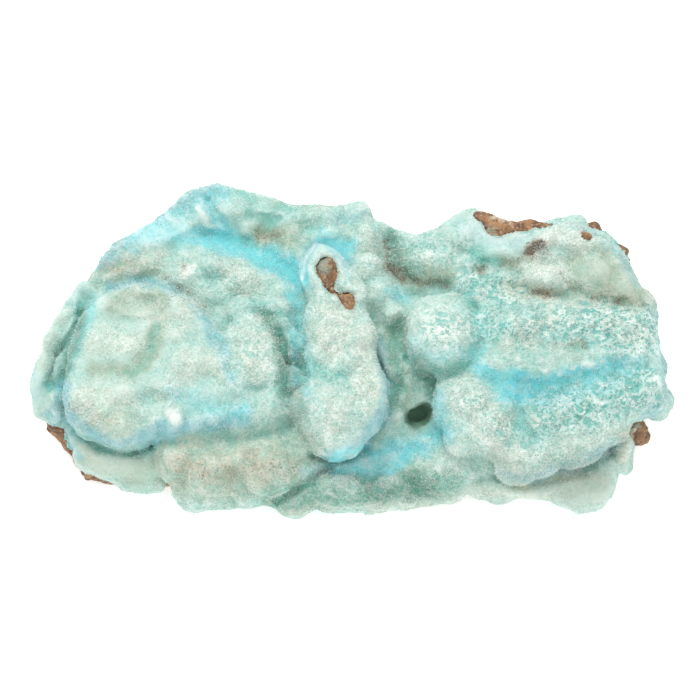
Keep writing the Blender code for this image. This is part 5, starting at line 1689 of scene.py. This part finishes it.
class SPECIMEN_OT_nap(Operator):
    """Sow the velvet of small crystals over the crust"""

    bl_idname = "specimen.nap"
    bl_label = "Crystal nap"

    def execute(self, context):
        sizes = context.scene.specimen_sizes
        crust = bpy.data.objects["crust_body"]
        sowing_weights(crust.data)
        tree = nap_tree()
        for seed, (name, nap) in enumerate(NAPS.items(), start=1):
            share, long, wide, lean, whiteness = nap
            values = {"Tip": "tip", "Tip Frost": whiteness, "Grain Depth": NAP_GRAIN_DEPTH}
            material = aragonite_material(name + "_look", values, bump=0.0, glow=0.0)
            count = sizes.needles * share * 1.0
            crystals = crust.copy()
            crystals.data = crust.data.copy()
            crystals.name = name
            context.scene.collection.objects.link(crystals)
            grow(crystals, tree, {
                "Sown Where": name, "Density": count / weighted_area(crust.data, name), "Seed": seed,
                "Length": sizes.needle_length * long, "Width": sizes.needle_width * wide,
                "Lean": lean, "Sunk": sizes.needle_length * 0.25, "Material": material,
            })
            for attribute in list(crystals.data.attributes):
                if attribute.name.endswith("_nap"):
                    crystals.data.attributes.remove(attribute)
            grid_map(crystals.data)
            finish_piece(crystals, "blue_aragonite")
        return {"FINISHED"}


def lay_table(colours):
    """A wide pale table just under the specimen."""
    bm = bmesh.new()
    bmesh.ops.create_grid(bm, x_segments=1, y_segments=1, size=TABLE_HALF)
    table = object_from(bm, "table")
    table.data.transform(Matrix.Translation((0, 0, -TABLE_DROP)))
    material = bpy.data.materials.new("table_look")
    material.use_nodes = True
    shader = material.node_tree.nodes["Principled BSDF"]
    shader.inputs["Base Color"].default_value = (*colours.floor, 1.0)
    shader.inputs["Roughness"].default_value = 0.9
    shader.inputs["Specular IOR Level"].default_value = 0.1
    shader.inputs["Emission Color"].default_value = (1, 1, 1, 1)
    shader.inputs["Emission Strength"].default_value = FLOOR_GLOW
    wear(table, material)


def set_lights(scene):
    """A white sky and the softboxes, each turned to the specimen."""
    world = bpy.data.worlds.new("studio")
    world.use_nodes = True
    sky = world.node_tree.nodes["Background"]
    sky.inputs["Color"].default_value = (1, 1, 1, 1)
    sky.inputs["Strength"].default_value = SKY_STRENGTH
    scene.world = world
    for name, spot, size, power in LAMPS:
        light = bpy.data.lights.new(name, "AREA")
        light.shape = "SQUARE"
        light.size = size
        light.energy = power
        lamp = bpy.data.objects.new(name, light)
        lamp.location = spot
        lamp.rotation_euler = (-Vector(spot)).to_track_quat("-Z", "Y").to_euler()
        scene.collection.objects.link(lamp)


def aim_camera(scene):
    camera = bpy.data.cameras.new("view")
    camera.sensor_width = SENSOR
    camera.lens = SENSOR * VIEW_DISTANCE / VIEW_WIDTH
    camera.shift_x = -VIEW_OFFSET[0]
    camera.shift_y = -VIEW_OFFSET[1]
    eye = bpy.data.objects.new("view", camera)
    aim = (place(0, 0, VIEW_HEIGHT) + Vector(CENTRING)) * MM
    back = Vector((0, -math.cos(VIEW_TILT), math.sin(VIEW_TILT)))
    eye.location = aim + back * VIEW_DISTANCE
    eye.rotation_euler = (math.pi / 2 - VIEW_TILT, 0, 0)
    scene.collection.objects.link(eye)
    scene.camera = eye


class SPECIMEN_OT_studio(Operator):
    """Lay the pale table and set the soft lights and the camera"""

    bl_idname = "specimen.studio"
    bl_label = "Studio"

    def execute(self, context):
        scene = context.scene
        lay_table(scene.specimen_colours)
        set_lights(scene)
        aim_camera(scene)
        scene.view_settings.view_transform = "Standard"
        return {"FINISHED"}


class VIEW3D_PT_specimen(Panel):
    """Lists the steps that build the specimen"""

    bl_label = "Blue Aragonite"
    bl_space_type = "VIEW_3D"
    bl_region_type = "UI"
    bl_category = "Specimen"

    def draw(self, context):
        layout = self.layout
        for step in STEPS:
            layout.operator(step.bl_idname)
        for settings in (context.scene.specimen_sizes, context.scene.specimen_colours):
            for key in settings.bl_rna.properties.keys():
                if key not in ("rna_type", "name"):
                    layout.prop(settings, key)


STEPS = (SPECIMEN_OT_rock, SPECIMEN_OT_crust, SPECIMEN_OT_nap, SPECIMEN_OT_studio)
CLASSES = (SpecimenSizes, SpecimenColours, *STEPS, VIEW3D_PT_specimen)


def register():
    for made in CLASSES:
        bpy.utils.register_class(made)
    bpy.types.Scene.specimen_sizes = PointerProperty(type=SpecimenSizes)
    bpy.types.Scene.specimen_colours = PointerProperty(type=SpecimenColours)


def unregister():
    del bpy.types.Scene.specimen_sizes
    del bpy.types.Scene.specimen_colours
    for made in reversed(CLASSES):
        bpy.utils.unregister_class(made)


def plain(box):
    return [[float(v) for v in corner] for corner in box]


def main():
    register()
    bpy.ops.specimen.rock()
    bpy.ops.specimen.crust()
    bpy.ops.specimen.nap()
    bpy.ops.specimen.studio()


if __name__ == "__main__":
    main()
